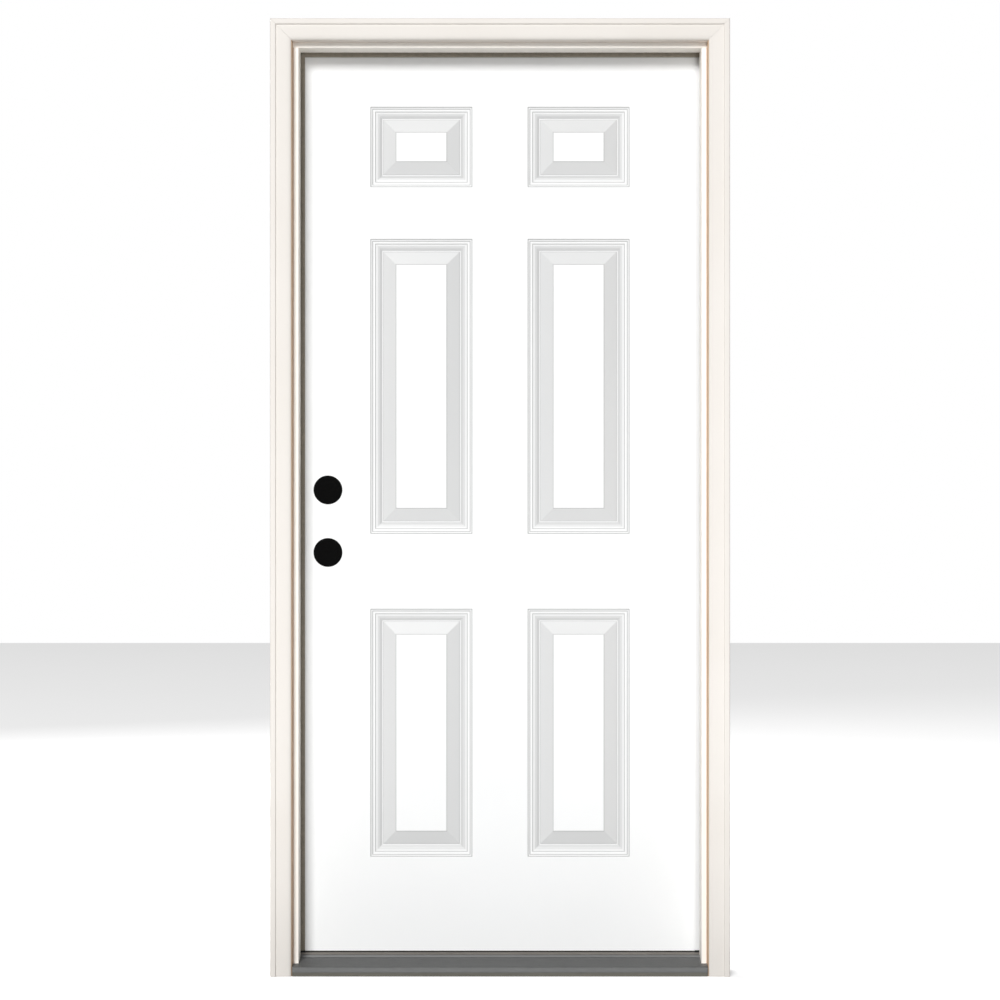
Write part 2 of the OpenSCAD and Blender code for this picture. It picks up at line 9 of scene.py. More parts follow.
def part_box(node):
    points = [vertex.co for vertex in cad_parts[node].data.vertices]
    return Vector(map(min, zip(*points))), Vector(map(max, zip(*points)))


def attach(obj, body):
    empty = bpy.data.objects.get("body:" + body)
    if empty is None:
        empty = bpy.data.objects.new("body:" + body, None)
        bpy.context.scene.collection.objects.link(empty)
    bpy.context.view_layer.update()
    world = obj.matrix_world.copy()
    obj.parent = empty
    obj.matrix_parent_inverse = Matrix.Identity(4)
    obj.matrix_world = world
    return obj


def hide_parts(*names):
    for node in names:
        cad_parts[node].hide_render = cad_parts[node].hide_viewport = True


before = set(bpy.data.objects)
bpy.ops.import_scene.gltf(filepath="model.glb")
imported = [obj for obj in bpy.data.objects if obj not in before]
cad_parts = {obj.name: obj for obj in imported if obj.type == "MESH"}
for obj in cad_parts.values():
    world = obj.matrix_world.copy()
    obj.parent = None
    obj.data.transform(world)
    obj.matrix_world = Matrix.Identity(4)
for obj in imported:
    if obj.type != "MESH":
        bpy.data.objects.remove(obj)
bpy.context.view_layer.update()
scene = bpy.context.scene
mm = 0.001


def linkObject(name, mesh):
    piece = bpy.data.objects.new(name, mesh)
    scene.collection.objects.link(piece)
    return piece


def meshFrom(name, corners, faces):
    mesh = bpy.data.meshes.new(name)
    mesh.from_pydata(corners, [], faces)
    mesh.validate()
    mesh.update()
    return mesh


def cornerIndex(points, x, y, z):  # the same place always gives the same corner, so neighbours join up
    return points.setdefault((round(x, 7), round(y, 7), round(z, 7)), len(points))


def shadeByAngle(mesh, degrees):
    mesh.shade_smooth()
    mesh.set_sharp_from_angle(angle=math.radians(degrees))


def easeCorner(before, corner, after, radius, steps):
    ends = []
    for other in (before, after):
        length = math.dist(other, corner)
        share = min(radius, length * 0.45) / length
        ends.append([c + (o - c) * share for c, o in zip(corner, other)])
    eased = []
    for i in range(steps + 1):
        t = i / steps
        eased.append(tuple((1 - t) ** 2 * a + 2 * t * (1 - t) * c + t * t * b
                           for a, c, b in zip(ends[0], corner, ends[1])))
    return eased


def easedLine(points, radius, steps=4):  # an open line with its inner corners rounded
    line = [points[0]]
    for before, corner, after in zip(points, points[1:], points[2:]):
        line += easeCorner(before, corner, after, radius, steps)
    return line + [points[-1]]


def easedLoop(points, radius, steps=3):  # a closed outline with every corner rounded
    loop = []
    for i, corner in enumerate(points):
        loop += easeCorner(points[i - 1], corner, points[(i + 1) % len(points)], radius, steps)
    return loop


def plainMesh(piece, name):  # what the modifiers make, as a mesh of its own
    bpy.context.view_layer.update()
    graph = bpy.context.evaluated_depsgraph_get()
    mesh = bpy.data.meshes.new_from_object(piece.evaluated_get(graph), depsgraph=graph)
    mesh.name = name
    return mesh


def faceOutwards(mesh, merge=False):
    shell = bmesh.new()
    shell.from_mesh(mesh)
    if merge:
        bmesh.ops.remove_doubles(shell, verts=shell.verts, dist=1e-6)
    bmesh.ops.recalc_face_normals(shell, faces=shell.faces)
    shell.to_mesh(mesh)
    shell.free()


def dress(piece, material):
    piece.data.materials.clear()
    piece.data.materials.append(material)
    for face in piece.data.polygons:
        face.material_index = 0


def newFinish(name):
    material = bpy.data.materials.new(name)
    material.use_nodes = True
    return material, material.node_tree, material.node_tree.nodes["Principled BSDF"]


def setShader(shader, roughness, metallic=0.0, specular=0.5, coat=0.0, coatRoughness=0.2):
    shader.inputs["Roughness"].default_value = roughness
    shader.inputs["Metallic"].default_value = metallic
    shader.inputs["Specular IOR Level"].default_value = specular
    shader.inputs["Coat Weight"].default_value = coat
    shader.inputs["Coat Roughness"].default_value = coatRoughness


def node(tree, kind, **inputs):
    made = tree.nodes.new(kind)
    for key, value in inputs.items():
        socket = made.inputs[key.replace("_", " ")]
        if isinstance(value, bpy.types.NodeSocket):
            tree.links.new(value, socket)
        else:
            socket.default_value = value
    return made


def objectPlace(tree, scale=(1, 1, 1)):  # object coordinates, stretched by scale
    place = tree.nodes.new("ShaderNodeTexCoord")
    stretch = node(tree, "ShaderNodeMapping", Scale=scale)
    tree.links.new(place.outputs["Object"], stretch.inputs["Vector"])
    return stretch.outputs["Vector"]


def stretched(along, amount):  # a pattern's scale on each axis, drawn out along one
    scale = [1.0, 1.0, 1.0]
    scale[along] = amount
    return scale


def noise(tree, vector, scale, detail=3.0, rough=0.5):
    made = node(tree, "ShaderNodeTexNoise", Vector=vector, Scale=scale, Detail=detail, Roughness=rough)
    return made.outputs["Fac"]


def math2(tree, operation, first, second=None, third=None):
    made = tree.nodes.new("ShaderNodeMath")
    made.operation = operation
    for socket, value in zip(made.inputs, (first, second, third)):
        if isinstance(value, bpy.types.NodeSocket):
            tree.links.new(value, socket)
        elif value is not None:
            socket.default_value = value
    return made.outputs[0]


def ramp(tree, value, stops):  # stops are (position, colour)
    made = tree.nodes.new("ShaderNodeValToRGB")
    tree.links.new(value, made.inputs["Fac"])
    while len(made.color_ramp.elements) < len(stops):
        made.color_ramp.elements.new(0.5)
    for element, (position, colour) in zip(made.color_ramp.elements, stops):
        element.position = position
        element.color = (*colour, 1.0)
    return made.outputs["Color"]


def spread(tree, value, low, high):  # 0..1 to low..high
    made = node(tree, "ShaderNodeMapRange", Value=value)
    made.inputs["To Min"].default_value = low
    made.inputs["To Max"].default_value = high
    return made.outputs["Result"]


def step(tree, value, start, end):  # 0 before start, 1 after end
    made = node(tree, "ShaderNodeMapRange", Value=value)
    made.interpolation_type = "SMOOTHSTEP"
    made.inputs["From Min"].default_value = start
    made.inputs["From Max"].default_value = end
    return made.outputs["Result"]


def mixColour(tree, amount, first, second):
    made = tree.nodes.new("ShaderNodeMix")
    made.data_type = "RGBA"
    for label, value in (("Factor", amount), ("A", first), ("B", second)):
        socket = made.inputs[label]
        if isinstance(value, bpy.types.NodeSocket):
            tree.links.new(value, socket)
        else:
            socket.default_value = (*value, 1.0) if isinstance(value, tuple) else value
    return made.outputs["Result"]


def bumpFrom(tree, height, strength, distance, normal=None):
    made = node(tree, "ShaderNodeBump", Height=height)
    made.inputs["Strength"].default_value = strength
    made.inputs["Distance"].default_value = distance
    if normal is not None:
        tree.links.new(normal, made.inputs["Normal"])
    return made.outputs["Normal"]


def wireFinish(tree, shader, colour, roughness, normal):
    for value, label in ((colour, "Base Color"), (roughness, "Roughness"), (normal, "Normal")):
        tree.links.new(value, shader.inputs[label])


def splitPlace(tree):
    place = tree.nodes.new("ShaderNodeTexCoord")
    parts = node(tree, "ShaderNodeSeparateXYZ", Vector=place.outputs["Object"])
    return parts.outputs["X"], parts.outputs["Y"], parts.outputs["Z"]


slabPaintLook = {
    "tone": (0.862, 0.868, 0.868), "deep": (0.842, 0.848, 0.848), "cloudSize": 3.2,
    # painted shade on the pressed panels: colour factors for sloping and steep faces, and the lean where each
    # starts
    "levelAt": 0.03, "slopeAt": 0.14, "slopeShade": 0.76, "steepAt": 0.6, "steepShade": 0.5,
    "roughness": (0.36, 0.44), "patchSize": 26, "peelSize": 520, "peelStrength": 0.35, "peelHeight": 0.00004,
}


def slabPaintFinish():  # smooth factory paint on pressed steel, with a trace of orange peel, and painted shade on its sloping faces
    look = slabPaintLook
    material, tree, shader = newFinish("slabPaint")
    setShader(shader, 0.4, specular=0.42, coat=0.06, coatRoughness=0.35)
    cloud = noise(tree, objectPlace(tree), look["cloudSize"], 4)
    fine = noise(tree, objectPlace(tree), look["peelSize"], 2)
    paintedSlopeShade = tree.nodes.new("ShaderNodeAttribute")
    paintedSlopeShade.attribute_name = "paintedSlopeShade"
    # painted shade: the colour darkens where the sheet slopes, standing in for the shade the bevels get under
    # light; real paint doesn't do this
    slopeShade, steepShade = (look["slopeShade"],) * 3, (look["steepShade"],) * 3
    shade = ramp(tree, paintedSlopeShade.outputs["Fac"], [
        (look["levelAt"], (1, 1, 1)), (look["slopeAt"], slopeShade), (look["steepAt"], steepShade)])
    paint = ramp(tree, cloud, [(0.3, look["deep"]), (0.7, look["tone"])])
    shaded = tree.nodes.new("ShaderNodeMix")
    shaded.data_type = "RGBA"
    shaded.blend_type = "MULTIPLY"
    shaded.inputs["Factor"].default_value = 1.0
    tree.links.new(paint, shaded.inputs["A"])
    tree.links.new(shade, shaded.inputs["B"])
    patches = noise(tree, objectPlace(tree), look["patchSize"], 4)
    wireFinish(tree, shader, shaded.outputs["Result"], spread(tree, patches, *look["roughness"]),
               bumpFrom(tree, fine, look["peelStrength"], look["peelHeight"]))
    return material


trimPaintLook = {
    "tone": (0.8, 0.765, 0.722), "deep": (0.772, 0.732, 0.684), "seam": (0.6, 0.37, 0.24),
    "roughness": (0.5, 0.62), "cloudSize": 4.5, "grainShare": 0.18,
    "grainSize": 0.0009, "grainStretch": 0.03, "grainStrength": 0.3, "grainHeight": 0.00012,
    "brushSize": 190, "brushStretch": 0.25, "brushStrength": 0.25, "brushHeight": 0.00009,
    "seamEdge": 0.55, "seamTint": 0.4,
}


def primerOn(tree, along, tone, deep):  # brushed primer over softwood; returns colour, roughness and normal
    look = trimPaintLook
    grainPlace = objectPlace(tree, stretched(along, look["grainStretch"]))
    grain = noise(tree, grainPlace, 1 / look["grainSize"], 3, 0.6)
    brush = noise(tree, objectPlace(tree, stretched(along, look["brushStretch"])), look["brushSize"], 3)
    cloud = noise(tree, objectPlace(tree), look["cloudSize"], 4)
    blend = math2(tree, "MULTIPLY_ADD", grain, look["grainShare"],
                  math2(tree, "MULTIPLY", cloud, 1 - look["grainShare"]))
    colour = ramp(tree, blend, [(0.3, deep), (0.68, tone)])
    roughness = spread(tree, brush, *look["roughness"])
    normal = bumpFrom(tree, grain, look["grainStrength"], look["grainHeight"],
                      bumpFrom(tree, brush, look["brushStrength"], look["brushHeight"]))
    return colour, roughness, normal


pineLook = {
    "early": (0.64, 0.43, 0.235), "late": (0.42, 0.235, 0.105), "pale": (0.73, 0.535, 0.33),
    "blockLength": 0.46, "fingerDepth": 0.009, "fingerPitch": 0.0042, "blockShift": 0.35, "blockTint": 0.38,
    "grainStretch": 0.06, "ringSize": 46, "ringWarp": 7.5, "ringDetail": 3, "ringDetailSize": 1.4,
    "fibreSize": 900, "fibreShare": 0.35, "roughness": (0.62, 0.8),
    "grainStrength": 0.3, "grainHeight": 0.00012,
}


def pineOn(tree, along):  # finger-jointed pine: rings stretched along the grain, and blocks that differ in tone
    look = pineLook
    parts = splitPlace(tree)
    length = parts[along]
    width = parts[1] if along != 1 else parts[0]
    zigzag = math2(tree, "PINGPONG", width, look["fingerPitch"])
    shifted = math2(tree, "MULTIPLY_ADD", zigzag, look["fingerDepth"] / look["fingerPitch"], length)
    block = math2(tree, "FLOOR", math2(tree, "DIVIDE", shifted, look["blockLength"]))
    tint = tree.nodes.new("ShaderNodeTexWhiteNoise")
    tint.noise_dimensions = "1D"
    tree.links.new(block, tint.inputs["W"])
    offset = tree.nodes.new("ShaderNodeCombineXYZ")
    for socket in offset.inputs:
        tree.links.new(math2(tree, "MULTIPLY", tint.outputs["Value"], look["blockShift"]), socket)
    moved = tree.nodes.new("ShaderNodeVectorMath")
    tree.links.new(objectPlace(tree, stretched(along, look["grainStretch"])), moved.inputs[0])
    tree.links.new(offset.outputs["Vector"], moved.inputs[1])
    rings = tree.nodes.new("ShaderNodeTexWave")
    rings.bands_direction = "XYZ"[1 if along != 1 else 0]
    tree.links.new(moved.outputs["Vector"], rings.inputs["Vector"])
    rings.inputs["Scale"].default_value = look["ringSize"]
    rings.inputs["Distortion"].default_value = look["ringWarp"]
    rings.inputs["Detail"].default_value = look["ringDetail"]
    rings.inputs["Detail Scale"].default_value = look["ringDetailSize"]
    fibre = noise(tree, moved.outputs["Vector"], look["fibreSize"], 3, 0.65)
    value = math2(tree, "MULTIPLY_ADD", fibre, look["fibreShare"],
                  math2(tree, "MULTIPLY", rings.outputs["Fac"], 1 - look["fibreShare"]))
    colour = ramp(tree, value, [(0.2, look["pale"]), (0.52, look["early"]), (0.86, look["late"])])
    paleShare = math2(tree, "MULTIPLY", tint.outputs["Value"], look["blockTint"])
    tinted = mixColour(tree, paleShare, colour, look["pale"])
    roughness = spread(tree, fibre, *look["roughness"])
    return tinted, roughness, bumpFrom(tree, value, look["grainStrength"], look["grainHeight"])


def mouldingFinish(name, along, seamAt, seamWidth, seamDepth):  # primed moulding, bare where it meets the jamb
    material, tree, shader = newFinish(name)
    setShader(shader, 0.55, specular=0.35)
    look = trimPaintLook
    colour, roughness, normal = primerOn(tree, along, look["tone"], look["deep"])
    x, _, z = splitPlace(tree)
    across = math2(tree, "ABSOLUTE", x) if along == 2 else z
    covered = step(tree, across, seamAt + seamWidth * look["seamEdge"], seamAt + seamWidth)
    bare = math2(tree, "MULTIPLY", math2(tree, "SUBTRACT", 1.0, covered), seamDepth)
    wood = mixColour(tree, look["seamTint"], pineOn(tree, along)[0], look["seam"])
    wireFinish(tree, shader, mixColour(tree, bare, colour, wood), roughness, normal)
    return material


def pineFinish(name, along):
    material, tree, shader = newFinish(name)
    setShader(shader, 0.7, specular=0.3)
    wireFinish(tree, shader, *pineOn(tree, along))
    return material


jambLook = {
    "tone": (0.965, 0.925, 0.87), "deep": (0.925, 0.88, 0.815), "rawDepth": 0.6 * mm, "rawEdge": 0.7,
    "seamWidth": 2.0 * mm, "seamEdge": 0.6, "seamBack": (0.4 * mm, 0.9 * mm),
    "sideSeam": 0.85, "headSeam": 0.15,
}


def jambFinish(name, along, backAt, seamAt):  # primed where it shows, bare wood towards the rough opening
    look = jambLook
    material, tree, shader = newFinish(name)
    setShader(shader, 0.55, specular=0.35)
    paint = primerOn(tree, along, look["tone"], look["deep"])
    wood = pineOn(tree, along)
    x, y, z = splitPlace(tree)
    across = math2(tree, "ABSOLUTE", x) if along == 2 else z
    raw = step(tree, across, backAt - look["rawDepth"], backAt - look["rawDepth"] * look["rawEdge"])
    seamLine = step(tree, across, seamAt - look["seamWidth"], seamAt - look["seamWidth"] * look["seamEdge"])
    outdoorSide = math2(tree, "SUBTRACT", 1.0, step(tree, y, *look["seamBack"]))
    seam = math2(tree, "MULTIPLY", math2(tree, "MULTIPLY", seamLine, outdoorSide),
                 look["sideSeam"] if along == 2 else look["headSeam"])
    colour = mixColour(tree, raw, mixColour(tree, seam, paint[0], trimPaintLook["seam"]), wood[0])
    wireFinish(tree, shader, colour, paint[1], paint[2])
    return material


def mottledFinish(name, dark, light, roughness, size, height, specular=0.4, stretch=(1, 1, 1), speck=None):
    material, tree, shader = newFinish(name)
    setShader(shader, sum(roughness) / 2, specular=specular)
    coarse = noise(tree, objectPlace(tree, stretch), size * 0.12, 4, 0.6)
    fine = noise(tree, objectPlace(tree, stretch), size, 3, 0.6)
    blend = math2(tree, "MULTIPLY_ADD", fine, 0.45, math2(tree, "MULTIPLY", coarse, 0.55))
    colour = ramp(tree, blend, [(0.34, dark), (0.66, light)])
    if speck:
        dots = node(tree, "ShaderNodeTexVoronoi", Vector=objectPlace(tree, stretch), Scale=size * 0.6)
        near = math2(tree, "LESS_THAN", dots.outputs["Distance"], 0.16)
        colour = mixColour(tree, math2(tree, "MULTIPLY", near, 0.5), colour, speck)
    wireFinish(tree, shader, colour, spread(tree, fine, *roughness), bumpFrom(tree, blend, 0.4, height))
    return material


def metalFinish(name, dark, light, roughness, along, size, height, metallic=1.0):  # drawn along one axis
    material, tree, shader = newFinish(name)
    setShader(shader, sum(roughness) / 2, metallic=metallic)
    lines = noise(tree, objectPlace(tree, stretched(along, 0.02)), size, 3, 0.6)
    cloud = noise(tree, objectPlace(tree), 38, 4, 0.6)
    blend = math2(tree, "MULTIPLY_ADD", lines, 0.6, math2(tree, "MULTIPLY", cloud, 0.4))
    wireFinish(tree, shader, ramp(tree, blend, [(0.3, dark), (0.7, light)]),
               spread(tree, cloud, *roughness), bumpFrom(tree, lines, 0.3, height))
    return material


foamLook = {
    "wall": (0.62, 0.5, 0.27), "cell": (0.82, 0.72, 0.45), "cellSize": 900.0, "strength": 0.6, "height": 0.0003,
}


def foamFinish():  # blown foam: closed cells with thin walls
    look = foamLook
    material, tree, shader = newFinish("blownFoam")
    setShader(shader, 0.85, specular=0.2)
    foam = node(tree, "ShaderNodeTexVoronoi", Vector=objectPlace(tree), Scale=look["cellSize"])
    cells = foam.outputs["Distance"]
    tree.links.new(ramp(tree, cells, [(0.05, look["wall"]), (0.6, look["cell"])]), shader.inputs["Base Color"])
    tree.links.new(bumpFrom(tree, cells, look["strength"], look["height"]), shader.inputs["Normal"])
    return material


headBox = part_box("head_jamb")
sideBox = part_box("hinge_jamb")
mouldInner = {"x": 0.457, "z": 2.057}  # the mouldings' inner edges

slabPaint = slabPaintFinish()
uprightMoulding = mouldingFinish("uprightMouldingPaint", 2, mouldInner["x"], 2.8 * mm, 0.9)
headMoulding = mouldingFinish("headMouldingPaint", 0, mouldInner["z"], 2.0 * mm, 0.12)
sideJambPaint = jambFinish("sideJambPaint", 2, sideBox[1].x, mouldInner["x"])
headJambPaint = jambFinish("headJambPaint", 0, headBox[1].z, mouldInner["z"])
uprightPine = pineFinish("uprightPine", 2)
railPine = pineFinish("railPine", 0)
mottledLooks = {
    "bronzeVinyl": {"dark": (0.19, 0.166, 0.128), "light": (0.27, 0.235, 0.182), "roughness": (0.36, 0.5),
                    "size": 900, "height": 0.00005},
    "blackFoam": {"dark": (0.006, 0.006, 0.006), "light": (0.02, 0.02, 0.02), "roughness": (0.8, 0.95),
                  "size": 1500, "height": 0.0003, "specular": 0.2},
    "sweepVinyl": {"dark": (0.02, 0.02, 0.021), "light": (0.045, 0.045, 0.046), "roughness": (0.38, 0.52),
                   "size": 1100, "height": 0.00004},
    "capPlastic": {"dark": (0.0012, 0.0012, 0.0012), "light": (0.003, 0.003, 0.003), "roughness": (0.8, 0.92),
                   "size": 1300, "height": 0.00003, "specular": 0.05},
    "capComposite": {"dark": (0.13, 0.118, 0.105), "light": (0.2, 0.185, 0.168), "roughness": (0.5, 0.65),
                     "size": 520, "height": 0.00012, "specular": 0.4, "stretch": (0.06, 1, 1),
                     "speck": (0.24, 0.22, 0.2)},
    "baseComposite": {"dark": (0.1, 0.096, 0.08), "light": (0.15, 0.146, 0.122), "roughness": (0.55, 0.7),
                      "size": 420, "height": 0.00015, "specular": 0.35, "stretch": (0.06, 1, 1),
                      "speck": (0.22, 0.18, 0.15)},
}
metalLooks = {  # along is the axis of the drawn lines
    "deckAluminium": {"dark": (0.108, 0.11, 0.11), "light": (0.15, 0.152, 0.15), "roughness": (0.46, 0.62),
                      "along": 0, "size": 1600, "height": 0.00005, "metallic": 0.45},
    "hingeSteel": {"dark": (0.5, 0.49, 0.47), "light": (0.68, 0.67, 0.65), "roughness": (0.26, 0.4),
                   "along": 2, "size": 2400, "height": 0.00002},
    "screwSteel": {"dark": (0.52, 0.5, 0.46), "light": (0.72, 0.7, 0.66), "roughness": (0.24, 0.36),
                   "along": 2, "size": 2400, "height": 0.00002},
    "nailSteel": {"dark": (0.3, 0.3, 0.3), "light": (0.5, 0.5, 0.5), "roughness": (0.3, 0.45),
                  "along": 1, "size": 2000, "height": 0.00003},
}
bronzeVinyl, blackFoam, sweepVinyl, capPlastic, capComposite, baseComposite = [
    mottledFinish(name, **look) for name, look in mottledLooks.items()]
deckMetal, hingeMetal, screwMetal, nailMetal = [metalFinish(name, **look) for name, look in metalLooks.items()]
print("finishes made:", len(bpy.data.materials))


keptFinishes = {
    "hinge_jamb": sideJambPaint, "strike_jamb": sideJambPaint, "head_jamb": headJambPaint,
    "hinge_weatherstrip": bronzeVinyl,
    "sill_base": baseComposite, "sill_deck": deckMetal, "sill_cap": capComposite,
    "hinge_corner_pad": blackFoam, "strike_corner_pad": blackFoam, "brickmould_nails": nailMetal,
    "top_jamb_leaf": hingeMetal, "middle_jamb_leaf": hingeMetal, "bottom_jamb_leaf": hingeMetal,
    "top_door_leaf": hingeMetal, "middle_door_leaf": hingeMetal, "bottom_door_leaf": hingeMetal,
    "top_hinge_pin": hingeMetal, "middle_hinge_pin": hingeMetal, "bottom_hinge_pin": hingeMetal,
    "hinge_stile": uprightPine, "lock_stile": uprightPine, "lock_block": uprightPine,
    "top_rail": railPine, "bottom_rail": railPine, "foam_core": foamFinish(),
}
for name, material in keptFinishes.items():
    dress(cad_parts[name], material)
print("kept pieces dressed:", len(keptFinishes))


skinSizes = {
    "sheet": 0.6 * mm, "foldRadius": 1.2 * mm, "foldSteps": 5, "returnDepth": 6 * mm, "shadeAngle": 32,
    "columns": [(-289 * mm, -62 * mm), (62 * mm, 289 * mm)],
    "rows": [(251 * mm, 804 * mm), (972 * mm, 1630 * mm), (1746 * mm, 1925 * mm)],
    # across the moulding, the groove and the bevel: distance from the panel's edge, and depth, in millimetres
    "profile": [(-1.2, 0), (0, 0), (1.3, 1.6), (4.16, 1.76), (5.2, 3.04), (10.4, 3.36), (11.7, 4.4),
                (15.6, 4.8), (20.28, 5.76), (23.92, 7.2), (26, 8), (27.5, 8), (29, 7.2), (56, 0.96),
                (57.5, 0), (58.7, 0)],
    "profileEase": 0.7, "boreX": -384.15 * mm, "boreZ": (930 * mm, 1069.7 * mm), "boreRadius": 26.9875 * mm,
    "boreSides": 72, "notchDepth": 2.4 * mm,
}


def panelRings(points, faces, left, right, low, high, faceY):
    line = easedLine(skinSizes["profile"], skinSizes["profileEase"])
    rings = []
    for inset, depth in line:
        t, y = inset * mm, faceY + depth * mm
        rings.append([cornerIndex(points, x, y, z) for x, z in
                      ((left + t, low + t), (right - t, low + t), (right - t, high - t), (left + t, high - t))])
    for outer, inner in zip(rings, rings[1:]):
        for i in range(4):
            j = (i + 1) % 4
            faces.append((outer[i], outer[j], inner[j], inner[i]))
    faces.append(tuple(rings[-1]))
    t = line[0][0] * mm
    return left + t, right - t, low + t, high - t


def insideBox(x, z, box):
    return box[0] < x < box[1] and box[2] < z < box[3]


def pressedSkin(name, nodeName, notches):
    sizes = skinSizes
    low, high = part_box(nodeName)
    outdoor = nodeName == "exterior_skin"
    middleY = (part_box("exterior_skin")[0].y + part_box("interior_skin")[1].y) / 2
    faceY = low.y if outdoor else 2 * middleY - high.y  # drawn outdoors, then turned over for the other face
    points, faces = {}, []
    holes = [panelRings(points, faces, *column, *row, faceY)
             for column in sizes["columns"] for row in sizes["rows"]]
    flatX = high.x - sizes["foldRadius"]
    cutX = high.x - sizes["notchDepth"]
    rightLine = [(flatX, low.z)]
    for z0, z1 in notches:
        rightLine += [(flatX, z0), (cutX, z0), (cutX, z1), (flatX, z1)]
    rightLine.append((flatX, high.z))
    outline = [(-flatX, low.z)] + rightLine + [(-flatX, high.z)]
    loops = [outline] + [[(b[0], b[2]), (b[1], b[2]), (b[1], b[3]), (b[0], b[3])] for b in holes]
    turns = [2 * math.pi * i / sizes["boreSides"] for i in range(sizes["boreSides"])]
    for boreZ in sizes["boreZ"]:
        loops.append([(sizes["boreX"] + sizes["boreRadius"] * math.cos(turn),
                       boreZ + sizes["boreRadius"] * math.sin(turn)) for turn in turns])
    flat, edges = [], []
    for loop in loops:
        start = len(flat)
        flat += [Vector(p) for p in loop]
        edges += [(start + i, start + (i + 1) % len(loop)) for i in range(len(loop))]
    corners, _, triangles, _, _, _ = delaunay_2d_cdt(flat, edges, [], 0, 1e-7)
    cuts = [(cutX, high.x, z0, z1) for z0, z1 in notches]
    for triangle in triangles:
        x = sum(corners[i].x for i in triangle) / 3
        z = sum(corners[i].y for i in triangle) / 3
        inBore = any(math.hypot(x - sizes["boreX"], z - b) < sizes["boreRadius"] for b in sizes["boreZ"])
        if not inBore and not any(insideBox(x, z, b) for b in holes + cuts):
            faces.append(tuple(cornerIndex(points, corners[i].x, faceY, corners[i].y) for i in triangle))
    fold = [(flatX, faceY)]  # round the edge and back along the return
    for i in range(1, sizes["foldSteps"] + 1):
        a = i * math.pi / (2 * sizes["foldSteps"])
        fold.append((flatX + sizes["foldRadius"] * math.sin(a),
                     faceY + sizes["foldRadius"] * (1 - math.cos(a))))
    fold.append((high.x, faceY + sizes["returnDepth"]))
    breaks = [low.z] + [z for pair in notches for z in pair] + [high.z]
    for z0, z1 in zip(breaks[::2], breaks[1::2]):
        for (xa, ya), (xb, yb) in zip(fold, fold[1:]):
            faces.append(tuple(cornerIndex(points, *c) for c in
                               ((xa, ya, z0), (xb, yb, z0), (xb, yb, z1), (xa, ya, z1))))
    for (xa, ya), (xb, yb) in zip(fold, fold[1:]):
        faces.append(tuple(cornerIndex(points, *c) for c in
                           ((-xb, yb, low.z), (-xa, ya, low.z), (-xa, ya, high.z), (-xb, yb, high.z))))
    if not outdoor:
        flipped = [(x, 2 * middleY - y, z) for x, y, z in points]
        faces = [tuple(reversed(face)) for face in faces]
    else:
        flipped = list(points)
    sheet = linkObject(name, meshFrom(name, flipped, faces))
    wall = sheet.modifiers.new("sheet", "SOLIDIFY")
    wall.thickness = sizes["sheet"]
    wall.offset = -1
    wall.use_even_offset = True
    mesh = plainMesh(sheet, name)
    bpy.data.objects.remove(sheet)
    shadeByAngle(mesh, sizes["shadeAngle"])
    sharp = mesh.attributes.get("sharp_edge") or mesh.attributes.new("sharp_edge", "BOOLEAN", "EDGE")
    shell = bmesh.new()
    shell.from_mesh(mesh)
    shell.edges.ensure_lookup_table()
    for edge in shell.edges:
        d = edge.verts[1].co - edge.verts[0].co
        mitre = abs(abs(d.x) - abs(d.z)) < 1e-6 and abs(d.x) > 1e-6
        levels = [abs(face.normal.y) > 0.999999 for face in edge.link_faces]
        if mitre or (any(levels) and not all(levels)):
            sharp.data[edge.index].value = True
    shell.free()
    # how far each face leans from the flat sheet, which sets the painted shade on the slopes
    lean = [math.sqrt(max(0, 1 - abs(face.normal.y))) for face in mesh.polygons]  # from the flat sheet
    mesh.attributes.new("paintedSlopeShade", "FLOAT", "FACE").data.foreach_set("value", lean)
    piece = linkObject(name, mesh)
    dress(piece, slabPaint)
    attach(piece, "door")
    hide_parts(nodeName)


leafBoxes = [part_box(n) for n in ("bottom_door_leaf", "middle_door_leaf", "top_door_leaf")]
pressedSkin("outdoorSkin", "exterior_skin", [])
pressedSkin("indoorSkin", "interior_skin", [(low.z, high.z) for low, high in leafBoxes])
print("skins pressed")


boreCapSizes = {  # caps for the look only: the frame's bores stay open
    "flangeRadius": 32.2 * mm, "flangeThick": 1.3 * mm, "flangeEdge": 0.4, "flangeEase": 0.6 * mm,
    "dish": 0.72, "dishInset": 4 * mm, "rimInset": 2 * mm, "cupRadius": 26.4 * mm, "cupDepth": 15 * mm,
    "wall": 1.4 * mm, "ease": 0.35 * mm, "sides": 72, "shadeAngle": 35,
}


def lathe(name, outline, sides):  # outline is (radius, height) from the axis out and back to the axis
    corners, faces = [], []
    rows = []
    for radius, height in outline:
        if radius < 1e-9:
            corners.append((0, 0, height))
            rows.append([len(corners) - 1] * sides)
            continue
        start = len(corners)
        for i in range(sides):
            a = 2 * math.pi * i / sides
            corners.append((radius * math.cos(a), radius * math.sin(a), height))
        rows.append(list(range(start, start + sides)))
    for low, high in zip(rows, rows[1:]):
        for i in range(sides):
            j = (i + 1) % sides
            ring = [low[i], low[j], high[j], high[i]]
            face = [c for k, c in enumerate(ring) if c not in ring[:k]]
            if len(face) > 2:
                faces.append(tuple(face))
    mesh = meshFrom(name, corners, faces)
    faceOutwards(mesh)
    return mesh


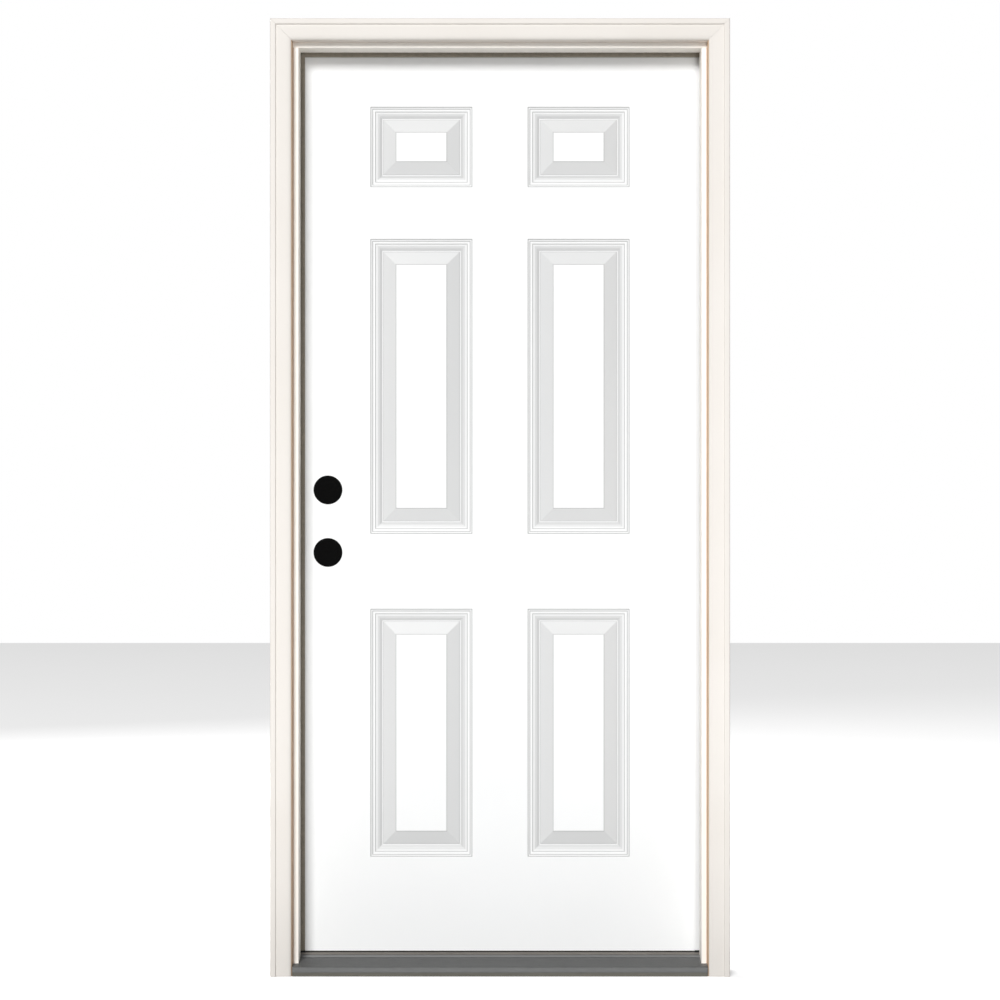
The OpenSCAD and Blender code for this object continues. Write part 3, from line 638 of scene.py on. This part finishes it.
def boreCap(name, z):
    sizes = boreCapSizes
    r, c, f, w = sizes["flangeRadius"], sizes["cupRadius"], sizes["flangeThick"], sizes["wall"]
    dish, depth = f * sizes["dish"], sizes["cupDepth"]
    outline = easedLine([
        (0, dish), (c - sizes["dishInset"], dish), (c - sizes["rimInset"], f), (r - sizes["flangeEase"], f),
        (r, f * sizes["flangeEdge"]), (r, 0), (c, 0), (c, -depth), (c - w, -depth), (c - w, dish - w),
        (0, dish - w)], sizes["ease"], 3)
    mesh = lathe(name, outline, sizes["sides"])
    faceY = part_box("exterior_skin")[0].y
    turn = Matrix.Rotation(math.radians(90), 4, "X")
    mesh.transform(Matrix.Translation((skinSizes["boreX"], faceY, z)) @ turn)
    shadeByAngle(mesh, sizes["shadeAngle"])
    piece = linkObject(name, mesh)
    dress(piece, capPlastic)
    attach(piece, "door")


boreCap("lowerBoreCap", skinSizes["boreZ"][0])
boreCap("upperBoreCap", skinSizes["boreZ"][1])
print("bore caps made")


mouldSizes = {
    "width": 48, "thick": 31.75, "innerX": 457.0, "innerZ": 2057.0, "mitreGap": 0.15,
    "beadRadius": 3.0, "beadInset": 10, "cornerRadius": 2.0, "roundover": 9.0, "arcSteps": 8,
    # the quirk beside the bead and the flat face: distance from the inner edge, and depth from the front
    "face": [(35, 3.1), (34.8, 3.55), (33, 3.3), (9, 4.6), (8.6, 4.62)], "faceEase": 0.7, "shadeAngle": 34,
}


def mouldOutline():  # (distance from the inner edge, y), in millimetres
    s = mouldSizes
    w, t, n = s["width"], s["thick"], s["arcSteps"]
    line = [(0, 0), (w, 0)]
    for i in range(n + 1):
        a = math.radians(90 * i / n)
        line.append((w - s["cornerRadius"] * (1 - math.cos(a)), -t + s["cornerRadius"] * (1 - math.sin(a))))
    for i in range(n + 1):
        a = math.radians(90 + 90 * i / n)
        line.append((w - s["beadInset"] + s["beadRadius"] * math.cos(a),
                     -t + s["beadRadius"] * (1 - math.sin(a))))
    line += easedLine([(across, -t + depth) for across, depth in s["face"]], s["faceEase"], 4)[1:-1]
    faceEnd, faceDepth = s["face"][-2]
    for i in range(2 * n + 1):
        a = math.radians(90 + 90 * i / (2 * n))
        line.append((faceEnd + s["roundover"] * math.cos(a),
                     -t + faceDepth + s["roundover"] * (1 - math.sin(a))))
    return line


def mouldPiece(name, nodeName, leg, material):
    s = mouldSizes
    outline = mouldOutline()
    corners = []
    for end in (0, 1):
        for a, y in outline:
            if leg == "head":
                x = (1 if end else -1) * (s["innerX"] + a - s["mitreGap"])
                corners.append((x * mm, y * mm, (s["innerZ"] + a) * mm))
            else:
                z = end * (s["innerZ"] + a - s["mitreGap"])
                corners.append((leg * (s["innerX"] + a) * mm, y * mm, z * mm))
    n = len(outline)
    faces = [tuple(range(n)), tuple(range(2 * n - 1, n - 1, -1))]
    faces += [(i, n + i, n + (i + 1) % n, (i + 1) % n) for i in range(n)]
    mesh = meshFrom(name, corners, faces)
    faceOutwards(mesh, merge=True)
    shadeByAngle(mesh, s["shadeAngle"])
    piece = linkObject(name, mesh)
    dress(piece, material)
    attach(piece, "frame")
    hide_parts(nodeName)


mouldPiece("hingeSideMoulding", "hinge_brickmould", 1, uprightMoulding)
mouldPiece("strikeSideMoulding", "strike_brickmould", -1, uprightMoulding)
mouldPiece("headMoulding", "head_brickmould", "head", headMoulding)
print("mouldings mitred")


def newTree(name, sockets):
    tree = bpy.data.node_groups.new(name, "GeometryNodeTree")
    tree.interface.new_socket("Geometry", in_out="INPUT", socket_type="NodeSocketGeometry")
    for label, kind in sockets:
        tree.interface.new_socket(label, in_out="INPUT", socket_type=kind)
    tree.interface.new_socket("Geometry", in_out="OUTPUT", socket_type="NodeSocketGeometry")
    return tree, tree.nodes.new("NodeGroupInput"), tree.nodes.new("NodeGroupOutput")


def endTree(tree, start, end, geometry):  # copies made real, then the finish
    real = tree.nodes.new("GeometryNodeRealizeInstances")
    tree.links.new(geometry, real.inputs["Geometry"])
    paint = tree.nodes.new("GeometryNodeSetMaterial")
    tree.links.new(real.outputs["Geometry"], paint.inputs["Geometry"])
    tree.links.new(start.outputs["Finish"], paint.inputs["Material"])
    tree.links.new(paint.outputs["Geometry"], end.inputs["Geometry"])
    return tree


def setInput(modifier, label, value):
    for item in modifier.node_group.interface.items_tree:
        if item.item_type == "SOCKET" and item.in_out == "INPUT" and item.name == label:
            modifier[item.identifier] = value
            return
    raise KeyError(label)


def grown(name, seedMesh, tree, values, extras=()):  # runs a tree on a seed mesh and returns the plain mesh
    seed = linkObject(name + "Seed", seedMesh)
    modifier = seed.modifiers.new("grow", "NODES")
    modifier.node_group = tree
    for label, value in values.items():
        setInput(modifier, label, value)
    mesh = plainMesh(seed, name)
    seed.modifiers.clear()
    bpy.data.objects.remove(seed)
    for extra in extras:
        bpy.data.objects.remove(extra)
    return mesh


def extrudeTree():  # a flat outline in XY pushed along Z, closed, then turned and placed
    tree, start, end = newTree("extrudedTrim", [
        ("Length", "NodeSocketFloat"), ("Turn", "NodeSocketVector"), ("Place", "NodeSocketVector"),
        ("Finish", "NodeSocketMaterial")])
    reach = tree.nodes.new("ShaderNodeCombineXYZ")
    tree.links.new(start.outputs["Length"], reach.inputs["Z"])
    push = tree.nodes.new("GeometryNodeExtrudeMesh")
    push.mode = "FACES"
    push.inputs["Individual"].default_value = False
    push.inputs["Offset Scale"].default_value = 1.0
    tree.links.new(start.outputs["Geometry"], push.inputs["Mesh"])
    tree.links.new(reach.outputs["Vector"], push.inputs["Offset"])
    under = tree.nodes.new("GeometryNodeFlipFaces")
    tree.links.new(start.outputs["Geometry"], under.inputs["Mesh"])
    both = tree.nodes.new("GeometryNodeJoinGeometry")
    tree.links.new(push.outputs["Mesh"], both.inputs["Geometry"])
    tree.links.new(under.outputs["Mesh"], both.inputs["Geometry"])
    sealed = tree.nodes.new("GeometryNodeMergeByDistance")
    sealed.inputs["Distance"].default_value = 1e-6
    tree.links.new(both.outputs["Geometry"], sealed.inputs["Geometry"])
    move = tree.nodes.new("GeometryNodeTransform")
    tree.links.new(sealed.outputs["Geometry"], move.inputs["Geometry"])
    tree.links.new(start.outputs["Place"], move.inputs["Translation"])
    turn = tree.nodes.new("FunctionNodeEulerToRotation")
    tree.links.new(start.outputs["Turn"], turn.inputs["Euler"])
    tree.links.new(turn.outputs["Rotation"], move.inputs["Rotation"])
    return endTree(tree, start, end, move.outputs["Geometry"])


trimTree = extrudeTree()


def flatOutline(name, outlines):  # one or more closed outlines in XY, in millimetres, wound anticlockwise
    corners, faces = [], []
    for outline in outlines:
        area = sum(a[0] * b[1] - b[0] * a[1] for a, b in zip(outline, outline[1:] + outline[:1]))
        ordered = outline if area > 0 else outline[::-1]
        faces.append(tuple(range(len(corners), len(corners) + len(ordered))))
        corners += [(x * mm, y * mm, 0) for x, y in ordered]
    return meshFrom(name, corners, faces)


def extruded(name, outlines, length, turn, place, material):
    return grown(name, flatOutline(name, outlines), trimTree,
                 {"Length": length, "Turn": turn, "Place": place, "Finish": material})


def joinMeshes(name, meshes):
    whole = bmesh.new()
    for mesh in meshes:
        whole.from_mesh(mesh)
    joined = bpy.data.meshes.new(name)
    whole.to_mesh(joined)
    whole.free()
    return joined


sealSizes = {
    # the strip's outline: inwards from the rabbet, and indoors from the stop's face, in millimetres
    "head": [(1, 0), (12.4, 0), (12.4, 3.1), (13.3, 4.4), (14.6, 4.4), (15.1, 4.9), (15.6, 4.4), (17.6, 4.4),
             (18.1, 4.9), (18.6, 4.4), (21.2, 4.4), (22, 5.4), (22, 9.2), (21, 10.2), (9.4, 10.2), (9.4, 5.6),
             (11.1, 4.2), (11.2, 1.2), (1, 1.2)],
    "leg": [(3.2, 0.5), (3.2, -2), (2.95, -3), (3.3, -3.4), (3.3, -5.2), (3.0, -6.2), (3.4, -6.6), (3.9, -9),
            (5.1, -9), (5.6, -6.6), (6.0, -6.2), (5.7, -5.2), (5.7, -3.4), (6.05, -3), (5.8, -2), (5.8, 0.5)],
    "ease": 0.35, "depth": 10.2, "rabbetX": -457.2, "rabbetZ": 2057.2, "stopTopZ": 2044.3, "shadeAngle": 40,
}


def sealPiece(name, nodeName, meshes):
    mesh = joinMeshes(name, meshes)
    shadeByAngle(mesh, sealSizes["shadeAngle"])
    piece = linkObject(name, mesh)
    dress(piece, bronzeVinyl)
    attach(piece, "frame")
    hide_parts(nodeName)


low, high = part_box("strike_weatherstrip")
stopY = high.y - sealSizes["depth"] * mm
headProfile = easedLoop(sealSizes["head"], sealSizes["ease"])
legProfile = easedLoop(sealSizes["leg"], sealSizes["ease"])
sidePlace = (sealSizes["rabbetX"] * mm, stopY, low.z)
legLength = sealSizes["stopTopZ"] * mm - low.z
sealPiece("strikeSideSeal", "strike_weatherstrip", [
    extruded("sealHead", [headProfile], high.z - low.z, (0, 0, 0), sidePlace, bronzeVinyl),
    extruded("sealLeg", [legProfile], legLength, (0, 0, 0), sidePlace, bronzeVinyl)])

low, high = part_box("head_weatherstrip")
headTurn = (0, math.radians(90), 0)  # the outline's X turns down and its length runs along X
headPlace = (low.x, stopY, sealSizes["rabbetZ"] * mm)
sealPiece("headSeal", "head_weatherstrip", [
    extruded("sealHead", [headProfile], high.x - low.x, headTurn, headPlace, bronzeVinyl),
    extruded("sealLeg", [legProfile], high.x - low.x, headTurn, headPlace, bronzeVinyl)])

sweepSizes = {
    "carrier": 1.1, "carrierEase": 0.3, "fins": (7, 16, 25), "finTop": 0.6, "finWidth": 0.9, "finEase": 0.12,
    "lean": 0.5, "leanShare": 0.4, "tipWidth": 0.35, "tipHeight": 0.9, "shadeAngle": 40,
}
low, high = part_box("bottom_sweep")
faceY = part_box("exterior_skin")[0].y
bottom, top = low.z / mm, high.z / mm
carrierBottom, finTop = top - sweepSizes["carrier"], top - sweepSizes["finTop"]
sweepOutlines = [easedLoop([(low.y / mm, carrierBottom), (high.y / mm, carrierBottom), (high.y / mm, top),
                            (low.y / mm, top)], sweepSizes["carrierEase"])]
for fin in sweepSizes["fins"]:
    y0 = faceY / mm + fin
    sweepOutlines.append(easedLoop([
        (y0, finTop), (y0 + sweepSizes["lean"] * sweepSizes["leanShare"], bottom + sweepSizes["tipHeight"]),
        (y0, bottom), (y0 + sweepSizes["tipWidth"], bottom),
        (y0 + sweepSizes["finWidth"], bottom + sweepSizes["tipHeight"]),
        (y0 + sweepSizes["finWidth"], finTop)], sweepSizes["finEase"]))
sweepMesh = extruded("doorSweep", sweepOutlines, high.x - low.x, (math.radians(90), 0, math.radians(90)),
                     (low.x, 0, 0), sweepVinyl)
shadeByAngle(sweepMesh, sweepSizes["shadeAngle"])
sweepPiece = linkObject("doorSweep", sweepMesh)
dress(sweepPiece, sweepVinyl)
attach(sweepPiece, "door")
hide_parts("bottom_sweep")
print("seals and sweep extruded")


treadSizes = {
    "count": 9, "firstY": -17 * mm, "firstZ": 22.95 * mm, "stepY": 6.6 * mm, "rise": 0.1051,
    "halfLength": 441 * mm, "width": 1.5 * mm, "height": 0.55 * mm, "sunk": 0.4 * mm,
    "shoulder": 0.2, "crown": 0.45,
}


def repeatTree():  # copies of one bar set off by an even step
    tree, start, end = newTree("treadRibs", [
        ("Count", "NodeSocketInt"), ("First", "NodeSocketVector"), ("Step", "NodeSocketVector"),
        ("Finish", "NodeSocketMaterial")])
    line = tree.nodes.new("GeometryNodeMeshLine")
    line.mode = "OFFSET"
    tree.links.new(start.outputs["Count"], line.inputs["Count"])
    tree.links.new(start.outputs["First"], line.inputs["Start Location"])
    tree.links.new(start.outputs["Step"], line.inputs["Offset"])
    copies = tree.nodes.new("GeometryNodeInstanceOnPoints")
    tree.links.new(line.outputs["Mesh"], copies.inputs["Points"])
    tree.links.new(start.outputs["Geometry"], copies.inputs["Instance"])
    return endTree(tree, start, end, copies.outputs["Instances"])


def ribMesh():
    s = treadSizes
    w, h, x = s["width"] / 2, s["height"], s["halfLength"]
    sunk, shoulder, crown = -s["sunk"], h * s["shoulder"], w * s["crown"]
    section = [(-w, sunk), (w, sunk), (w, shoulder), (crown, h), (-crown, h), (-w, shoulder)]
    corners = [(side * x, y, z) for side in (-1, 1) for y, z in section]
    n = len(section)
    faces = [tuple(range(n))[::-1], tuple(range(n, 2 * n))]
    faces += [(i, (i + 1) % n, n + (i + 1) % n, n + i) for i in range(n)]
    mesh = meshFrom("rib", corners, faces)
    faceOutwards(mesh)
    return mesh


treadMesh = grown("sillTread", ribMesh(), repeatTree(), {
    "Count": treadSizes["count"], "First": (0, treadSizes["firstY"], treadSizes["firstZ"]),
    "Step": (0, treadSizes["stepY"], treadSizes["stepY"] * treadSizes["rise"]), "Finish": deckMetal})
treadPiece = linkObject("sillTread", treadMesh)
dress(treadPiece, deckMetal)
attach(treadPiece, "frame")
print("tread ribs made")


screwSizes = {
    "sides": 20, "seed": 11, "shankShare": 0.5, "shadeAngle": 35,
    "recessWidth": 1.0, "recessReach": 2.5, "recessDepth": 1.9, "recessRise": 0.4, "recessTaper": 0.45,
    "rim": 0.12, "rimEase": 0.15, "hexHead": 2.4, "hexTop": 0.99, "hexEase": 0.25,
    "plainShank": 1.2, "plainTip": 5, "threads": 1.3, "threadRoot": 0.8, "rootStart": 0.35, "rootEnd": 0.7,
    "tipRadius": 0.3, "tipEase": 0.4,
}


def crossRecess(depth):  # the cross of a screwdriver's tip, tapered
    s = screwSizes
    shell = bmesh.new()
    for turn in (0, 90):
        made = bmesh.ops.create_cube(shell, size=1.0)["verts"]
        for vert in made:
            top = vert.co.z > 0
            taper = 1.0 if top else s["recessTaper"]
            vert.co = Vector((vert.co.x * 2 * s["recessReach"] * taper, vert.co.y * s["recessWidth"] * taper,
                              s["recessRise"] if top else -depth))
        bmesh.ops.rotate(shell, verts=made, matrix=Matrix.Rotation(math.radians(turn), 3, "Z"))
    mesh = bpy.data.meshes.new("recess")
    shell.to_mesh(mesh)
    shell.free()
    return mesh


def screwMesh(name, length, shank, head, hexHead):  # head at the origin, driven down -Z; millimetres
    s = screwSizes
    line = [(0, 0)]
    if hexHead:
        line += [(head * s["hexTop"], 0), (head, -s["hexEase"]), (head, -s["hexHead"])]
        neck = s["hexHead"]
    else:
        neck = head - shank + s["rim"]
        line += [(head - s["rimEase"], 0), (head, -s["rim"]), (shank, -neck)]
    root = shank * s["threadRoot"]
    z = neck + s["plainShank"]
    line.append((shank, -z))
    while z < length - s["plainTip"]:  # a ridge for each turn of thread
        line += [(root, -z - s["threads"] * s["rootStart"]), (root, -z - s["threads"] * s["rootEnd"]),
                 (shank, -z - s["threads"])]
        z += s["threads"]
    line += [(root, -z - s["tipEase"]), (s["tipRadius"], -length + s["tipEase"]), (0, -length)]
    body = linkObject(name, lathe(name, line, s["sides"]))
    recess = linkObject(name + "Recess", crossRecess(s["recessDepth"]))
    cut = body.modifiers.new("recess", "BOOLEAN")
    cut.operation = "DIFFERENCE"
    cut.object = recess
    cut.solver = "EXACT"
    cut.use_self = True
    mesh = plainMesh(body, name)
    for helper in (body, recess):
        bpy.data.objects.remove(helper)
    mesh.transform(Matrix.Scale(mm, 4))
    shadeByAngle(mesh, s["shadeAngle"])
    return mesh


def screwTree():  # one screw on each point, turned to its aim and spun by chance
    tree, start, end = newTree("drivenScrews", [
        ("Screw", "NodeSocketObject"), ("Seed", "NodeSocketInt"), ("Finish", "NodeSocketMaterial")])
    info = tree.nodes.new("GeometryNodeObjectInfo")
    tree.links.new(start.outputs["Screw"], info.inputs["Object"])
    aim = tree.nodes.new("GeometryNodeInputNamedAttribute")
    aim.data_type = "FLOAT_VECTOR"
    aim.inputs["Name"].default_value = "aim"
    turn = tree.nodes.new("FunctionNodeAlignRotationToVector")
    turn.axis = "Z"
    tree.links.new(aim.outputs["Attribute"], turn.inputs["Vector"])
    copies = tree.nodes.new("GeometryNodeInstanceOnPoints")
    tree.links.new(start.outputs["Geometry"], copies.inputs["Points"])
    tree.links.new(info.outputs["Geometry"], copies.inputs["Instance"])
    tree.links.new(turn.outputs["Rotation"], copies.inputs["Rotation"])
    chance = tree.nodes.new("FunctionNodeRandomValue")
    chance.data_type = "FLOAT"
    chance.inputs[3].default_value = math.pi / 2  # the most that a screw is turned
    tree.links.new(start.outputs["Seed"], chance.inputs["Seed"])
    spin = tree.nodes.new("ShaderNodeCombineXYZ")
    tree.links.new(chance.outputs[1], spin.inputs["Z"])
    spinTurn = tree.nodes.new("FunctionNodeEulerToRotation")
    tree.links.new(spin.outputs["Vector"], spinTurn.inputs["Euler"])
    spun = tree.nodes.new("GeometryNodeRotateInstances")
    tree.links.new(copies.outputs["Instances"], spun.inputs["Instances"])
    tree.links.new(spinTurn.outputs["Rotation"], spun.inputs["Rotation"])
    spun.inputs["Local Space"].default_value = True
    return endTree(tree, start, end, spun.outputs["Instances"])


drivenTree = screwTree()


def solidBoxes(nodeName):  # the low and the high corner of each loose solid in a frame piece
    source = bmesh.new()
    source.from_mesh(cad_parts[nodeName].data)
    bmesh.ops.remove_doubles(source, verts=source.verts, dist=1e-6)
    left, found = set(source.verts), []
    while left:
        stack, group = [left.pop()], []
        while stack:
            vert = stack.pop()
            group.append(vert.co.copy())
            for edge in vert.link_edges:
                other = edge.other_vert(vert)
                if other in left:
                    left.remove(other)
                    stack.append(other)
        found.append(tuple(Vector([pick(c[k] for c in group) for k in range(3)]) for pick in (min, max)))
    source.free()
    return sorted(found, key=lambda pair: tuple(round(v, 5) for v in pair[0]))


def screwSet(name, nodeName, body, length, heads, headRadius, hexHead):
    places, aims = [], []
    for low, high in solidBoxes(nodeName):
        place, aim = heads(low, high)
        places.append(place)
        aims.append(aim)
    seedMesh = meshFrom(name + "Points", places, [])
    aimValues = [c for aim in aims for c in aim]
    seedMesh.attributes.new("aim", "FLOAT_VECTOR", "POINT").data.foreach_set("vector", aimValues)
    shank = headRadius * screwSizes["shankShare"]
    screw = linkObject(name + "One", screwMesh(name + "One", length, shank, headRadius, hexHead))
    screw.hide_render = True
    values = {"Screw": screw, "Seed": screwSizes["seed"], "Finish": screwMetal}
    mesh = grown(name, seedMesh, drivenTree, values, [screw])
    piece = linkObject(name, mesh)
    dress(piece, screwMetal)
    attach(piece, body)
    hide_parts(nodeName)
    print(name, len(places), "screws")


def middle(low, high):
    return (low + high) / 2


def facing(axis, sign):  # the head's centre is on that side of each solid
    def head(low, high):
        place = middle(low, high)
        place[axis] = high[axis] if sign > 0 else low[axis]
        aim = Vector((0, 0, 0))
        aim[axis] = sign
        return place, aim
    return head


def bothSides(low, high):
    place = middle(low, high)
    sign = 1 if place.x > 0 else -1
    place.x = high.x if sign > 0 else low.x
    return place, Vector((sign, 0, 0))


def screwFacts(nodeName, axis):  # length, head radius of the first solid, in millimetres
    low, high = solidBoxes(nodeName)[0]
    across = (axis + 1) % 3
    return (high[axis] - low[axis]) / mm, (high[across] - low[across]) / 2 / mm


for name, nodeName, body, axis, heads, hexHead in (
        ("jambLeafScrews", "jamb_leaf_screws", "frame", 0, facing(0, -1), False),
        ("doorLeafScrews", "door_leaf_screws", "door", 0, facing(0, 1), False),
        ("frameScrews", "frame_screws", "frame", 0, bothSides, True),
        ("capScrews", "sill_cap_screws", "frame", 2, facing(2, 1), False)):
    length, headRadius = screwFacts(nodeName, axis)
    screwSet(name, nodeName, body, length, heads, headRadius, hexHead)


studioSizes = {
    "halfWidth": 14.0, "corner": 3.0, "drop": 0.4 * mm, "cornerSteps": 10,
    "deep": (0.86, 0.86, 0.86), "tone": (0.88, 0.88, 0.88), "cloudSize": 0.8, "glow": 0.6,
}


def studioFinish():
    material, tree, shader = newFinish("paleFloor")
    setShader(shader, 0.9, specular=0.1)
    cloud = noise(tree, objectPlace(tree), studioSizes["cloudSize"], 3)
    tree.links.new(ramp(tree, cloud, [(0.2, studioSizes["deep"]), (0.8, studioSizes["tone"])]),
                   shader.inputs["Base Color"])
    shader.inputs["Emission Color"].default_value = (1, 1, 1, 1)
    shader.inputs["Emission Strength"].default_value = studioSizes["glow"]
    return material


def studioFloor():  # a pale floor with rounded corners, in a white surround
    s = studioSizes
    reach = s["halfWidth"]
    outline = easedLoop([(-reach, -reach), (reach, -reach), (reach, reach), (-reach, reach)],
                        s["corner"], s["cornerSteps"])
    piece = linkObject("studioFloor", meshFrom("studioFloor", [(x, y, -s["drop"]) for x, y in outline],
                                               [tuple(range(len(outline)))]))
    dress(piece, studioFinish())
    piece.visible_diffuse = False  # the white floor lights nothing by itself; floorBounce does that


studioFloor()

lightSizes = {  # degrees to the left, degrees up, distance and size in metres, power in watts
    "mainBox": (15, 26, 32, (10.8, 8.4), 9450),
    "frontFill": (-9, 4, 20, (3.0, 3.0), 720),
    "indoorBox": (150, 32, 5.2, (2.2, 1.8), 300),
}
lightAim = (0, 0, 1.1)


def addLight(name, left, up, distance, size, power):
    lamp = bpy.data.lights.new(name, "AREA")
    lamp.shape = "RECTANGLE"
    lamp.size, lamp.size_y = size
    lamp.energy = power
    holder = bpy.data.objects.new(name, lamp)
    scene.collection.objects.link(holder)
    turn, lift = math.radians(left), math.radians(up)
    aim = Vector(lightAim)
    holder.location = aim + distance * Vector((
        -math.sin(turn) * math.cos(lift), -math.cos(turn) * math.cos(lift), math.sin(lift)))
    holder.rotation_euler = (aim - holder.location).to_track_quat("-Z", "Y").to_euler()
    return holder


for name, values in lightSizes.items():
    addLight(name, *values)
# light that comes back off the floor
bounceSizes = {"size": (4.0, 2.6), "power": 26, "place": (0, -1.75, 0.03)}
bounce = addLight("floorBounce", 0, 0, 0.01, bounceSizes["size"], bounceSizes["power"])
bounce.location = bounceSizes["place"]
bounce.rotation_euler = (math.pi, 0, 0)
bounce.visible_camera = False
world = bpy.data.worlds.new("studioAir")
world.use_nodes = True
world.node_tree.nodes["Background"].inputs["Color"].default_value = (1, 1, 1, 1)
world.node_tree.nodes["Background"].inputs["Strength"].default_value = 1.0
world.cycles_visibility.diffuse = False  # a white surround that leaves the lighting to the lamps
world.cycles_visibility.glossy = False
scene.world = world
scene.view_settings.view_transform = "Standard"
scene.view_settings.look = "None"

cameraSizes = {"distance": 6.0, "height": 1.0472, "lens": 98.4, "sensor": 36}
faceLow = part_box("head_brickmould")[0].y
lens = bpy.data.cameras.new("frontCamera")
lens.lens = cameraSizes["lens"]
lens.sensor_width = cameraSizes["sensor"]
camera = bpy.data.objects.new("frontCamera", lens)
scene.collection.objects.link(camera)
camera.location = (0, faceLow - cameraSizes["distance"], cameraSizes["height"])
camera.rotation_euler = (math.radians(90), 0, 0)
scene.camera = camera
print("studio set")
